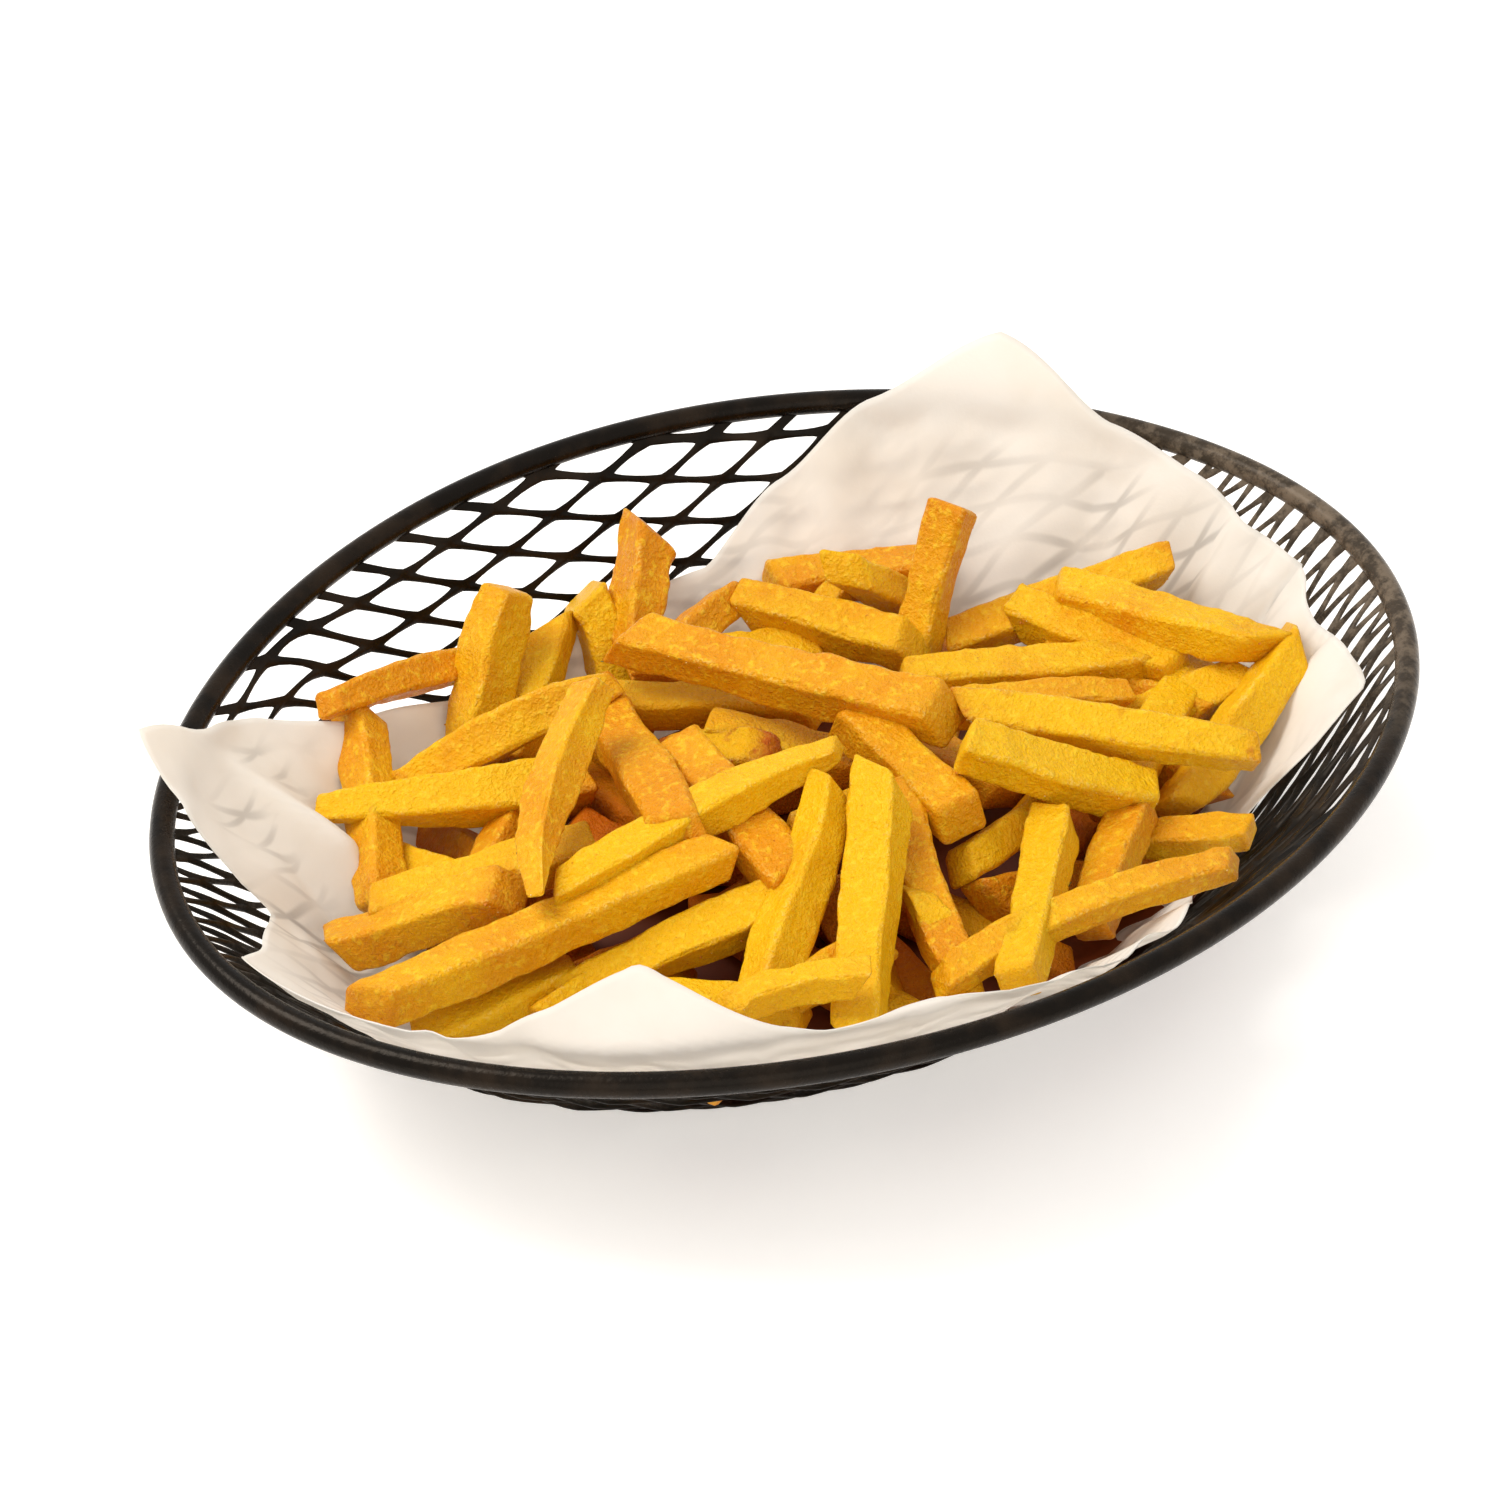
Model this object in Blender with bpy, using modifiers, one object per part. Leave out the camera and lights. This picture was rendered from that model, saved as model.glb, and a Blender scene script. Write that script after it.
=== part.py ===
"""A portion of french fries in an oval basket of black expanded metal, lined with tissue paper.

Metres, +Z up. The basket stands on its flat bottom, with its long axis along X. The wall of the
basket is one profile turned round an oval: a flat bottom, a round bend and a straight slope.
Every piece follows that profile at its own distance from it.
"""

import math
import random

import bmesh
import bpy
import numpy as np

# ---- driving dimensions ----------------------------------------------------------------------
RIM_HALF_LENGTH = 0.125      # centre of the rim wire, along X
RIM_HALF_WIDTH = 0.0942      # centre of the rim wire, along Y
RIM_SQUARENESS = 0.0067      # share by which the oval is fuller at its ends and sides
RIM_HEIGHT = 0.048           # centre of the rim wire above the floor
RIM_SAG = 0.0023             # the rim's ends lie this much lower, its long sides higher
SAG_FADE = 0.75              # share of the way to the flat bottom over which that dies out
WIRE_RADIUS = 0.0024

WALL_SLOPE = math.radians(50)
BEND_RADIUS = 0.040          # between the wall and the flat bottom

MESH_LONG = 0.0246           # diamond, long way, along X
MESH_SHORT = 0.0089          # diamond, short way
MESH_SHIFT = (0.0160, 0.0058)  # from the middle of the bottom to the nearest crossing
CROSSING_HALF = (0.0021, 0.00078)  # half size of the flat lozenge where strands meet
CUT_FROM, CUT_TO, CUT_TRIES = 0.25, 0.82, 20  # shares of a strand at which the rim may cut it
STRAND_DEPTH = 0.0013
END_SQUEEZE = 0.40           # how much narrower the diamonds are at the basket's two ends
SQUEEZE_FROM, SQUEEZE_TO = 0.072, 0.122

GAP = 0.0003                 # between pieces that touch
PAPER_THICKNESS = 0.0004
PAPER_LIFT = 0.0029          # from the outside of the mesh to the middle of the paper
HEAP_CLEARANCE = 0.0030      # between the paper and the heap, whose facets differ
FRY_SIZE = 0.0105
EDGE_THICKNESS = 0.0063      # of the heap where it runs out over the paper

# Paper's edge: angle round the rim in degrees, and how far it reaches past the rim (mm, negative
# where it stops short of it). Two corners lie out over the rim, one stands up at the front.
PAPER_EDGE = (
    (0, -10), (10, -10), (20, -5), (33, 0), (47, 15), (60, 0), (70, -15), (80, -30), (100, -35),
    (115, -35), (130, -25), (148, 0), (155, 15), (162, 0), (168, -25), (180, -15), (188, 0),
    (215, 0), (232, 17), (250, 0), (275, -5), (290, -15), (300, -30), (320, -35), (330, -5),
    (340, -10), (350, -15),
)
FRONT_CORNER, FRONT_SPREAD = 232, 17  # where that corner stands, in degrees, and how wide it is
FRONT_LEAN = 1.15            # how far it leans in over the fries, as a share of its reach
FRONT_DROP = 0.10            # how much lower that brings it, as a share of its reach
# Edge of the heap: angle round the rim, and how far it stops below the rim (mm).
HEAP_EDGE = (
    (0, -30), (30, -30), (60, -34), (90, -36), (120, -30), (145, -30), (170, -38), (190, -36),
    (215, -24), (235, -24), (250, -12), (270, -6), (288, -8), (302, -22), (320, -34), (340, -30),
)
HEAP_CREST = 0.060           # height of the heap's middle
HEAP_REACH = (0.100, 0.078)  # where the dome has fallen by both of the next two
HEAP_BOW = 0.016             # share that falls evenly all the way out
HEAP_SHOULDER = 0.014        # share that falls mostly near the edge
LOG_COUNT = 46               # fries that shape the heap's uneven top
LOG_SPREAD = (0.078, 0.058)  # how far from the middle they lie
LOG_HALF = (0.026, 0.036)    # half their length, shortest and longest
LOG_SINK = 0.4               # share of its thickness by which the dome lies below a fry's top
SEED = 11


# ---- the basket's profile --------------------------------------------------------------------
WALL_LENGTH = (RIM_HEIGHT - BEND_RADIUS * (1 - math.cos(WALL_SLOPE))) / math.sin(WALL_SLOPE)
BEND_START = WALL_LENGTH * math.cos(WALL_SLOPE)
BEND_LENGTH = BEND_RADIUS * WALL_SLOPE
BOTTOM_INSET = BEND_START + BEND_RADIUS * math.sin(WALL_SLOPE)


def profile(way, lift=0.0):
    """Inset from the rim and height, a distance `way` down the wall from the rim's centre.

    `lift` moves the point off the outside of the mesh, at right angles, towards the inside.
    A negative way is beyond the rim, on the same slope.
    """
    way = np.asarray(way, float)
    angle = np.clip(WALL_SLOPE - (way - WALL_LENGTH) / BEND_RADIUS, 0.0, WALL_SLOPE)
    on_wall = way < WALL_LENGTH
    past = np.maximum(way - WALL_LENGTH - BEND_LENGTH, 0.0)
    inset = np.where(
        on_wall, way * math.cos(WALL_SLOPE),
        BEND_START + BEND_RADIUS * (math.sin(WALL_SLOPE) - np.sin(angle)) + past)
    height = np.where(
        on_wall, RIM_HEIGHT - way * math.sin(WALL_SLOPE), BEND_RADIUS * (1 - np.cos(angle)))
    return inset + lift * np.sin(angle), height + lift * np.cos(angle)


def oval(turn, inset=0.0):
    """Point of the oval, `inset` inside the rim, at a turn in radians."""
    full = 1 + RIM_SQUARENESS * np.cos(4 * turn)
    return (RIM_HALF_LENGTH - inset) * np.cos(turn) * full, (RIM_HALF_WIDTH - inset) * np.sin(turn) * full


def sag(turn, inset):
    """How much the long sides stand above the ends: all of it at the rim, none at the bottom."""
    return -RIM_SAG * np.cos(2 * turn) * np.clip(1 - inset / (SAG_FADE * BOTTOM_INSET), 0.0, 1.0)


def wall_point(turn, way, lift=0.0):
    """Place on the basket at a turn round it, a way down from the rim and a lift off the mesh."""
    inset, height = profile(way, lift)
    x, y = oval(turn, inset)
    return np.stack([x, y, height + sag(turn, inset)], axis=-1)


def inset_at(x, y):
    """Inset of the oval that passes through (x, y), by halving."""
    low, high = np.full(np.shape(x), -0.05), np.full(np.shape(x), RIM_HALF_WIDTH - 1e-6)
    for _ in range(40):
        middle = (low + high) / 2
        outside = (x / (RIM_HALF_LENGTH - middle)) ** 2 + (y / (RIM_HALF_WIDTH - middle)) ** 2 > 1
        high, low = np.where(outside, middle, high), np.where(outside, low, middle)
    return (low + high) / 2


# ways down the wall at which the profile is tabulated, for reading it backwards
WAYS = np.linspace(-0.06, WALL_LENGTH + BEND_LENGTH + RIM_HALF_LENGTH, 1500)
WAY_INSETS, WAY_HEIGHTS = profile(WAYS)


def height_at(x, y, inset):
    """Height of the outside of the mesh at a plan position."""
    turn = np.arctan2(y / (RIM_HALF_WIDTH - inset), x / (RIM_HALF_LENGTH - inset))
    return np.interp(inset, WAY_INSETS, WAY_HEIGHTS) + sag(turn, inset)


# ---- small helpers ---------------------------------------------------------------------------
def material(name, colour, roughness, metallic=0.0):
    made = bpy.data.materials.new(name)
    made.use_nodes = True
    shader = made.node_tree.nodes["Principled BSDF"]
    shader.inputs["Base Color"].default_value = (*colour, 1.0)
    shader.inputs["Roughness"].default_value = roughness
    shader.inputs["Metallic"].default_value = metallic
    made.diffuse_color = (*colour, 1.0)
    return made


def add_object(name, mesh, collection, parent, finish, smooth_angle=None):
    part = bpy.data.objects.new(name, mesh)
    collection.objects.link(part)
    part.parent = parent
    mesh.materials.append(finish)
    if smooth_angle is not None:
        mesh.shade_smooth()
        mesh.set_sharp_from_angle(angle=math.radians(smooth_angle))
    return part


def edge_reach(table, turn):
    """Reach past the rim, in metres, read between the points of an edge table."""
    degrees = [row[0] for row in table] + [table[0][0] + 360]
    reach = [row[1] / 1000 for row in table] + [table[0][1] / 1000]
    return np.interp(np.degrees(turn) % 360, degrees, reach)


def closed_mesh(name, corners, faces):
    mesh = bpy.data.meshes.new(name)
    mesh.from_pydata([tuple(corner) for corner in corners], [], faces)
    shape = bmesh.new()
    shape.from_mesh(mesh)
    bmesh.ops.recalc_face_normals(shape, faces=shape.faces)
    shape.to_mesh(mesh)
    shape.free()
    mesh.update()
    return mesh


# ---- rim wire --------------------------------------------------------------------------------
def make_rim_wire(collection, parent):
    """A round wire on a closed curve: an oval that is a little lower at its two ends."""
    steps, sides = 60, 10
    turns = np.arange(steps) * 2 * math.pi / steps
    x, y = oval(turns)
    z = RIM_HEIGHT + sag(turns, np.zeros(steps))
    curve = bpy.data.curves.new("rim_wire_path", "CURVE")
    curve.dimensions = "3D"
    curve.bevel_depth = WIRE_RADIUS
    curve.bevel_resolution = (sides - 4) // 2
    line = curve.splines.new("POLY")
    line.points.add(steps - 1)
    for point, place in zip(line.points, zip(x, y, z)):
        point.co = (*place, 1.0)
    line.use_cyclic_u = True
    guide = bpy.data.objects.new("rim_wire_path", curve)
    collection.objects.link(guide)
    bpy.context.view_layer.update()
    ready = guide.evaluated_get(bpy.context.evaluated_depsgraph_get())
    mesh = bpy.data.meshes.new_from_object(ready)
    bpy.data.objects.remove(guide)
    mesh.name = "rim_wire"
    mesh.materials.clear()
    black = material("black_wire", (0.02, 0.018, 0.016), 0.35, 0.6)
    return add_object("rim_wire", mesh, collection, parent, black, 60)


# ---- expanded metal --------------------------------------------------------------------------
class Lattice:
    """Flat expanded metal, and the way it lies when it is pressed into the basket.

    A flat point (u, v) goes to the x whose distance along the middle of the basket is u, and to
    the y whose distance across the basket, at that x, is v. The diamonds narrow at both ends.
    """

    def __init__(self):
        self.middle = WALL_LENGTH + BEND_LENGTH + RIM_HALF_LENGTH - BOTTOM_INSET
        self.columns = {}

    def place_x(self, u):
        inset = np.interp(self.middle - abs(u), WAYS, WAY_INSETS)
        return math.copysign(RIM_HALF_LENGTH - inset, u)

    def column(self, x):
        """Distances across the basket at one x, with the y of each, tabulated once."""
        key = round(x, 7)
        if key not in self.columns:
            y = np.linspace(0.0, RIM_HALF_WIDTH + 0.02, 400)
            xs = np.full(y.shape, x)
            z = height_at(xs, y, inset_at(xs, y))
            steps = np.hypot(np.diff(y), np.diff(z))
            self.columns[key] = (np.concatenate([[0.0], np.cumsum(steps)]), y)
        return self.columns[key]

    def place(self, u, v):
        x = self.place_x(u)
        share = np.clip((abs(x) - SQUEEZE_FROM) / (SQUEEZE_TO - SQUEEZE_FROM), 0.0, 1.0)
        narrow = 1 - END_SQUEEZE * share * share * (3 - 2 * share)
        along, y = self.column(x)
        return x, math.copysign(float(np.interp(abs(v) * narrow, along, y)), v)

    def lift(self, u, v, depth):
        """The point of the pressed sheet, `depth` in from its outside along the wall's normal."""
        x, y = self.place(u, v)
        inset = float(inset_at(np.array(x), np.array(y)))
        turn = math.atan2(y / (RIM_HALF_WIDTH - inset), x / (RIM_HALF_LENGTH - inset))
        way = float(np.interp(inset, WAY_INSETS, WAYS))
        full = 1 / (1 + RIM_SQUARENESS * math.cos(4 * turn))
        point = wall_point(np.array(turn), np.array(way), depth)
        if depth == 0.0:
            return (x, y, float(point[2])), inset
        return (float(point[0]) * full, float(point[1]) * full, float(point[2])), inset


def make_basket_mesh(collection, parent):
    """Strands of expanded metal, flat outside and ridged inside, cut off just inside the rim wire.

    Crossings sit on a grid of half diamonds. Each strand joins two crossings and has two faces
    outside and two sloping sides that meet in its ridge; at the rim it ends in a small cap.
    """
    sheet = Lattice()
    half_u, half_v = MESH_LONG / 2, MESH_SHORT / 2
    arm_u, arm_v = CROSSING_HALF
    stop = (WIRE_RADIUS + 2 * GAP) * math.cos(WALL_SLOPE) + STRAND_DEPTH * math.sin(WALL_SLOPE)
    corners, faces, inside = [], [], {}

    def add(place):
        corners.append(place)
        return len(corners) - 1

    def centre(i, j):
        return MESH_SHIFT[0] + i * half_u, MESH_SHIFT[1] + j * half_v

    reach_u, reach_v = int(0.16 / half_u), int(0.17 / half_v)
    for i in range(-reach_u, reach_u + 1):
        for j in range(-reach_v, reach_v + 1):
            if (i + j) % 2:
                continue
            u, v = centre(i, j)
            spots = [(u - arm_u, v), (u, v + arm_v), (u + arm_u, v), (u, v - arm_v)]
            placed = [sheet.lift(*spot, 0.0) for spot in spots]
            if min(inset for _, inset in placed) < stop:
                continue
            ring = [add(place) for place, _ in placed]
            inside[i, j] = ring, add(sheet.lift(u, v, STRAND_DEPTH)[0])
            faces.append(ring)

    # a strand leaves a crossing by one of four steps, from two corners of its lozenge, and meets
    # two corners of the next one
    ways_out = (
        ((1, 1), (1, 2), (0, 3)),
        ((-1, 1), (0, 1), (3, 2)),
        ((-1, -1), (3, 0), (2, 1)),
        ((1, -1), (2, 3), (1, 0)),
    )
    for (i, j), (ring, ridge) in inside.items():
        for (di, dj), (first, second), (far_first, far_second) in ways_out:
            near = ring[first], ring[second]
            if (i + di, j + dj) in inside:
                if dj > 0:
                    other, far_ridge = inside[i + di, j + dj]
                    far = other[far_first], other[far_second]
                    faces.append((near[0], near[1], far[1], far[0]))
                    faces.append((near[0], far[0], far_ridge, ridge))
                    faces.append((near[1], ridge, far_ridge, far[1]))
                continue
            share, ends = cut_share(sheet, centre, (i, j), (di, dj), (first, second), stop)
            if share is None:
                faces.append((near[0], near[1], ridge))
                continue
            u, v = centre(i, j)
            tip = add(sheet.lift(u + share * di * half_u, v + share * dj * half_v, STRAND_DEPTH)[0])
            far = add(ends[0]), add(ends[1])
            faces.append((near[0], near[1], far[1], far[0]))
            faces.append((near[0], far[0], tip, ridge))
            faces.append((near[1], ridge, tip, far[1]))
            faces.append((far[0], far[1], tip))

    mesh = closed_mesh("basket_mesh", corners, faces)
    black = material("black_mesh", (0.02, 0.018, 0.016), 0.45, 0.5)
    return add_object("basket_mesh", mesh, collection, parent, black)


def cut_share(sheet, centre, crossing, step, used, stop):
    """How far along its strand the sheet is cut off at the rim, and the strand's two end corners."""
    arm_u, arm_v = CROSSING_HALF
    lozenge = [(-arm_u, 0), (0, arm_v), (arm_u, 0), (0, -arm_v)]
    u, v = centre(*crossing)
    best = None
    for share in np.linspace(CUT_FROM, CUT_TO, CUT_TRIES):
        ends = []
        for corner in used:
            du, dv = lozenge[corner]
            ends.append(sheet.lift(u + du + share * step[0] * MESH_LONG / 2,
                                   v + dv + share * step[1] * MESH_SHORT / 2, 0.0))
        if min(inset for _, inset in ends) < stop:
            break
        best = share, [place for place, _ in ends]
    return best if best else (None, None)


# ---- paper -----------------------------------------------------------------------------------
def rings(turns, reach, shares, base_shares, lift):
    """Rings of points from the middle of the bottom out to the edge, one row for each ring."""
    bottom = WALL_LENGTH + BEND_LENGTH
    rows = []
    for share in base_shares:
        point = wall_point(turns, np.full(turns.shape, bottom), lift)
        rows.append(point * np.array([share, share, 1.0]))
    for share in shares:
        rows.append(wall_point(turns, bottom + (-reach - bottom) * share, lift))
    return rows


def disc_faces(steps, row_count, pole, start):
    """Faces of a disc: a fan round its pole, then one band of four-sided faces for each ring."""
    faces = [(pole, start + k, start + (k + 1) % steps) for k in range(steps)]
    for row in range(row_count - 1):
        for k in range(steps):
            a, b = start + row * steps + k, start + row * steps + (k + 1) % steps
            faces.append((a, a + steps, b + steps, b))
    return faces


def make_paper(collection, parent):
    """The tissue: an open sheet on the mesh with a wavy edge, given its thickness by Solidify.

    Near the front, its corner folds inwards at the rim and leans over the fries.
    """
    steps = 60
    turns = np.arange(steps) * 2 * math.pi / steps
    reach = edge_reach(PAPER_EDGE, turns)
    rows = rings(turns, reach, (0.3, 0.6, 0.84, 1.0), (0.5, 1.0), PAPER_LIFT)
    out = np.stack([*oval(turns), np.zeros(steps)], axis=-1)
    out /= np.linalg.norm(out, axis=1, keepdims=True)
    front = np.exp(-((np.degrees(turns) - FRONT_CORNER) / FRONT_SPREAD) ** 2)
    over = (np.maximum(reach, 0.0) * front)[:, None]
    rows[-1] = rows[-1] - out * over * FRONT_LEAN - np.array([0, 0, 1.0]) * over * FRONT_DROP
    corners = [(0.0, 0.0, PAPER_LIFT)] + [tuple(point) for row in rows for point in row]
    mesh = bpy.data.meshes.new("paper_liner")
    mesh.from_pydata(corners, [], disc_faces(steps, len(rows), 0, 1))
    mesh.update()
    white = material("tissue", (0.86, 0.82, 0.76), 0.8)
    paper = add_object("paper_liner", mesh, collection, parent, white, 80)
    wall = paper.modifiers.new("thickness", "SOLIDIFY")
    wall.thickness = PAPER_THICKNESS
    wall.offset = 0.0
    return paper


# ---- fries -----------------------------------------------------------------------------------
def make_heap(collection, parent):
    """The heap as one solid: its bottom follows the paper, its top is a dome of crossed fries."""
    steps, shares = 48, (0.2, 0.4, 0.6, 0.8, 1.0)
    turns = np.arange(steps) * 2 * math.pi / steps
    reach = edge_reach(HEAP_EDGE, turns)
    lift = PAPER_LIFT + PAPER_THICKNESS / 2 + HEAP_CLEARANCE
    floor = rings(turns, reach, shares, (0.35, 0.7, 1.0), lift)
    chooser = random.Random(SEED)
    logs = []
    for _ in range(LOG_COUNT):
        turn, share = chooser.uniform(0, 2 * math.pi), math.sqrt(chooser.uniform(0, 1))
        yaw, half = chooser.uniform(0, math.pi), chooser.uniform(*LOG_HALF)
        x, y = LOG_SPREAD[0] * share * math.cos(turn), LOG_SPREAD[1] * share * math.sin(turn)
        logs.append((x, y, yaw, half))
    top = []
    for row in floor:
        spread = np.hypot(row[:, 0] / HEAP_REACH[0], row[:, 1] / HEAP_REACH[1])
        dome = HEAP_CREST - HEAP_BOW * spread ** 2 - HEAP_SHOULDER * spread ** 4
        bump = np.zeros(steps)
        for x, y, yaw, half in logs:
            dx, dy = row[:, 0] - x, row[:, 1] - y
            along = (dx * math.cos(yaw) + dy * math.sin(yaw)) / half
            across = (dy * math.cos(yaw) - dx * math.sin(yaw)) / FRY_SIZE
            rounded = np.sqrt(np.clip(1 - across ** 2 - along ** 4, 0.0, 1.0))
            bump = np.maximum(bump, rounded * FRY_SIZE / 2)
        height = np.maximum(dome + bump - FRY_SIZE * LOG_SINK, row[:, 2] + EDGE_THICKNESS)
        top.append(np.stack([row[:, 0], row[:, 1], height], axis=-1))
    low, high = (0.0, 0.0, lift), (0.0, 0.0, HEAP_CREST)
    corners = [low, high]
    for rows in (floor, top):
        corners += [tuple(point) for row in rows for point in row]
    count, per_side = len(floor), len(floor) * steps
    faces = disc_faces(steps, count, 0, 2) + disc_faces(steps, count, 1, 2 + per_side)
    rim_low, rim_high = 2 + (count - 1) * steps, 2 + per_side + (count - 1) * steps
    for k in range(steps):
        after = (k + 1) % steps
        faces.append((rim_low + k, rim_low + after, rim_high + after, rim_high + k))
    mesh = closed_mesh("fries_heap", corners, faces)
    golden = material("fried_potato", (0.75, 0.42, 0.03), 0.5)
    return add_object("fries_heap", mesh, collection, parent, golden)


def centre_on_origin(holder, parts):
    """Shift the whole part so that the middle of its box is over the origin and it stands on z = 0."""
    bpy.context.view_layer.update()
    graph = bpy.context.evaluated_depsgraph_get()
    points = []
    for part in parts:
        ready = part.evaluated_get(graph)
        shape = ready.to_mesh()
        points += [ready.matrix_world @ vertex.co for vertex in shape.vertices]
        ready.to_mesh_clear()
    low = [min(point[axis] for point in points) for axis in range(3)]
    high = [max(point[axis] for point in points) for axis in range(3)]
    holder.location = (-(low[0] + high[0]) / 2, -(low[1] + high[1]) / 2, -low[2])
    bpy.context.view_layer.update()


def main():
    for item in list(bpy.data.objects):
        bpy.data.objects.remove(item)
    collection = bpy.data.collections.new("fries_basket")
    bpy.context.scene.collection.children.link(collection)
    holder = bpy.data.objects.new("fries_basket", None)
    collection.objects.link(holder)
    parts = [make(collection, holder) for make in (make_rim_wire, make_basket_mesh, make_paper, make_heap)]
    centre_on_origin(holder, parts)


main()
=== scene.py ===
# %% [markdown]
# # French fries in a black mesh basket
# A portion of fries as it comes to the table: an oval basket of black expanded metal under a
# round rim wire, a square of white tissue pressed into it, and a loose heap of thick-cut fries.
# The CAD model gives the frame: every piece below is built on the same profile, in metres.

# %% Load the frame
import math

import bpy
import numpy as np
from mathutils import Matrix, Vector


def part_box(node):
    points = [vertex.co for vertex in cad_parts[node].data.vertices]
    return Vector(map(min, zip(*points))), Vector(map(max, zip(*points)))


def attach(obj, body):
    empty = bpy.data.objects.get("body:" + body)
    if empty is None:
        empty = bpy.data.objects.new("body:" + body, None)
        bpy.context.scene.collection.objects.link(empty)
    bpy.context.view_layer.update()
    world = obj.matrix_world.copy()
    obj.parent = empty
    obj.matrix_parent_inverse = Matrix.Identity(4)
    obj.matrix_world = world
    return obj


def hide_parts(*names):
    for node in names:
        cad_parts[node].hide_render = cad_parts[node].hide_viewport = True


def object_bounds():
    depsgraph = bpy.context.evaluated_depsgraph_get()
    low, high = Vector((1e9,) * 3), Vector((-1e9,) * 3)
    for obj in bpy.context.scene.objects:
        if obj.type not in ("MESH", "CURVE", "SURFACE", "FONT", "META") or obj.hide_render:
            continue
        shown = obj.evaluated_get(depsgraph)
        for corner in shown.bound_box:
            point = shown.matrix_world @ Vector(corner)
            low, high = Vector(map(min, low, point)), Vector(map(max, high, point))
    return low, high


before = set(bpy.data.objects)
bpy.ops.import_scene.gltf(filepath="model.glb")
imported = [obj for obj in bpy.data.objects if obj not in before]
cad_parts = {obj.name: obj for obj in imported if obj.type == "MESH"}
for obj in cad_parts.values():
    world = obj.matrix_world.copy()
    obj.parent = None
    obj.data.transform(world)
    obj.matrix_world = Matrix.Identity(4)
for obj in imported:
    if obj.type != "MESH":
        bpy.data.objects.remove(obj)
cad_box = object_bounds()
cad_size = [round(high - low, 4) for low, high in zip(*cad_box)]
print("CAD size", cad_size)

# %% [markdown]
# ## The basket's profile
# The real basket is pressed over a former: a flat bottom, one round bend and a straight wall.
# A single profile turned round an oval describes all of it, so the wire, the mesh, the paper and
# the fries can all be placed by two numbers: the turn round the oval, and the way down the wall.

# %% Profile of the basket
rim_low, rim_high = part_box("rim_wire")
WIRE_RADIUS = 0.0024
HALF_LENGTH = (rim_high[0] - rim_low[0]) / 2 - WIRE_RADIUS
HALF_WIDTH = (rim_high[1] - rim_low[1]) / 2 - WIRE_RADIUS
RIM_SAG = 0.0023                       # the two ends lie lower than the long sides
RIM_HEIGHT = rim_high[2] - WIRE_RADIUS - RIM_SAG
SQUARENESS = 0.0067
RIM_A = HALF_LENGTH / (1 + SQUARENESS)
RIM_B = HALF_WIDTH / (1 + SQUARENESS)
SLOPE = math.radians(50)
BEND = 0.040
WALL = (RIM_HEIGHT - BEND * (1 - math.cos(SLOPE))) / math.sin(SLOPE)
BEND_INSET = WALL * math.cos(SLOPE)
BOTTOM_WAY = WALL + BEND * SLOPE
BOTTOM_INSET = BEND_INSET + BEND * math.sin(SLOPE)
SAG_FADE = 0.75


def profile(way):
    """Inset, height and tilt of the wall at a way down from the rim: line, then arc, then line."""
    tilt = np.clip(SLOPE - (way - WALL) / BEND, 0.0, SLOPE)
    flat = np.maximum(way - BOTTOM_WAY, 0.0)
    inset = np.where(way < WALL, way * math.cos(SLOPE),
                     BEND_INSET + BEND * (math.sin(SLOPE) - np.sin(tilt)) + flat)
    height = np.where(way < WALL, RIM_HEIGHT - way * math.sin(SLOPE), BEND * (1 - np.cos(tilt)))
    return inset, height, tilt


def on_wall(turn, way, lift):
    """Point at a turn and a way down the wall, lifted off it at right angles towards the inside."""
    inset, height, tilt = profile(way)
    inset = inset + lift * np.sin(tilt)
    full = 1 + SQUARENESS * np.cos(4 * turn)
    sag = -RIM_SAG * np.cos(2 * turn) * np.clip(1 - inset / (SAG_FADE * BOTTOM_INSET), 0, 1)
    x = (RIM_A - inset) * np.cos(turn) * full
    y = (RIM_B - inset) * np.sin(turn) * full
    return np.stack([x, y, height + lift * np.cos(tilt) + sag], axis=-1)


def inset_of(x, y):
    """Inset of the oval through (x, y), by halving the gap between a bound inside and outside."""
    low = np.full(np.shape(x), -0.06)
    high = np.full(np.shape(x), RIM_B - 1e-6)
    for _ in range(36):
        mid = (low + high) / 2
        outside = (x / (RIM_A - mid)) ** 2 + (y / (RIM_B - mid)) ** 2 > 1
        high = np.where(outside, mid, high)
        low = np.where(outside, low, mid)
    return (low + high) / 2


WAYS = np.linspace(-0.08, BOTTOM_WAY + RIM_A, 1600)
INSETS, HEIGHTS, TILTS = profile(WAYS)
print(f"wall {WALL * 1000:.1f} mm, bottom starts {BOTTOM_INSET * 1000:.1f} mm inside the rim")

# %% [markdown]
# ## Helpers for surfaces
# Every new surface is a grid of points that a formula gives, so all points are computed at once.
# The helpers below turn such grids into meshes and give smooth noise for uneven shapes.

# %% Surface helpers


def grid_quads(rows, columns, closed=True, start=0):
    """Faces between the neighbours of a grid; closed joins the last column to the first."""
    row = np.arange(rows - 1)[:, None] * columns
    column = np.arange(columns if closed else columns - 1)[None, :]
    after = (column + 1) % columns
    quads = [row + column, row + after, row + columns + after, row + columns + column]
    return np.stack(quads, axis=-1).reshape(-1, 4) + start


def fan(pole, ring):
    """Triangles from one point to a closed ring of points."""
    return np.stack([np.full(ring.shape, pole), ring, np.roll(ring, -1)], axis=-1)


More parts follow.
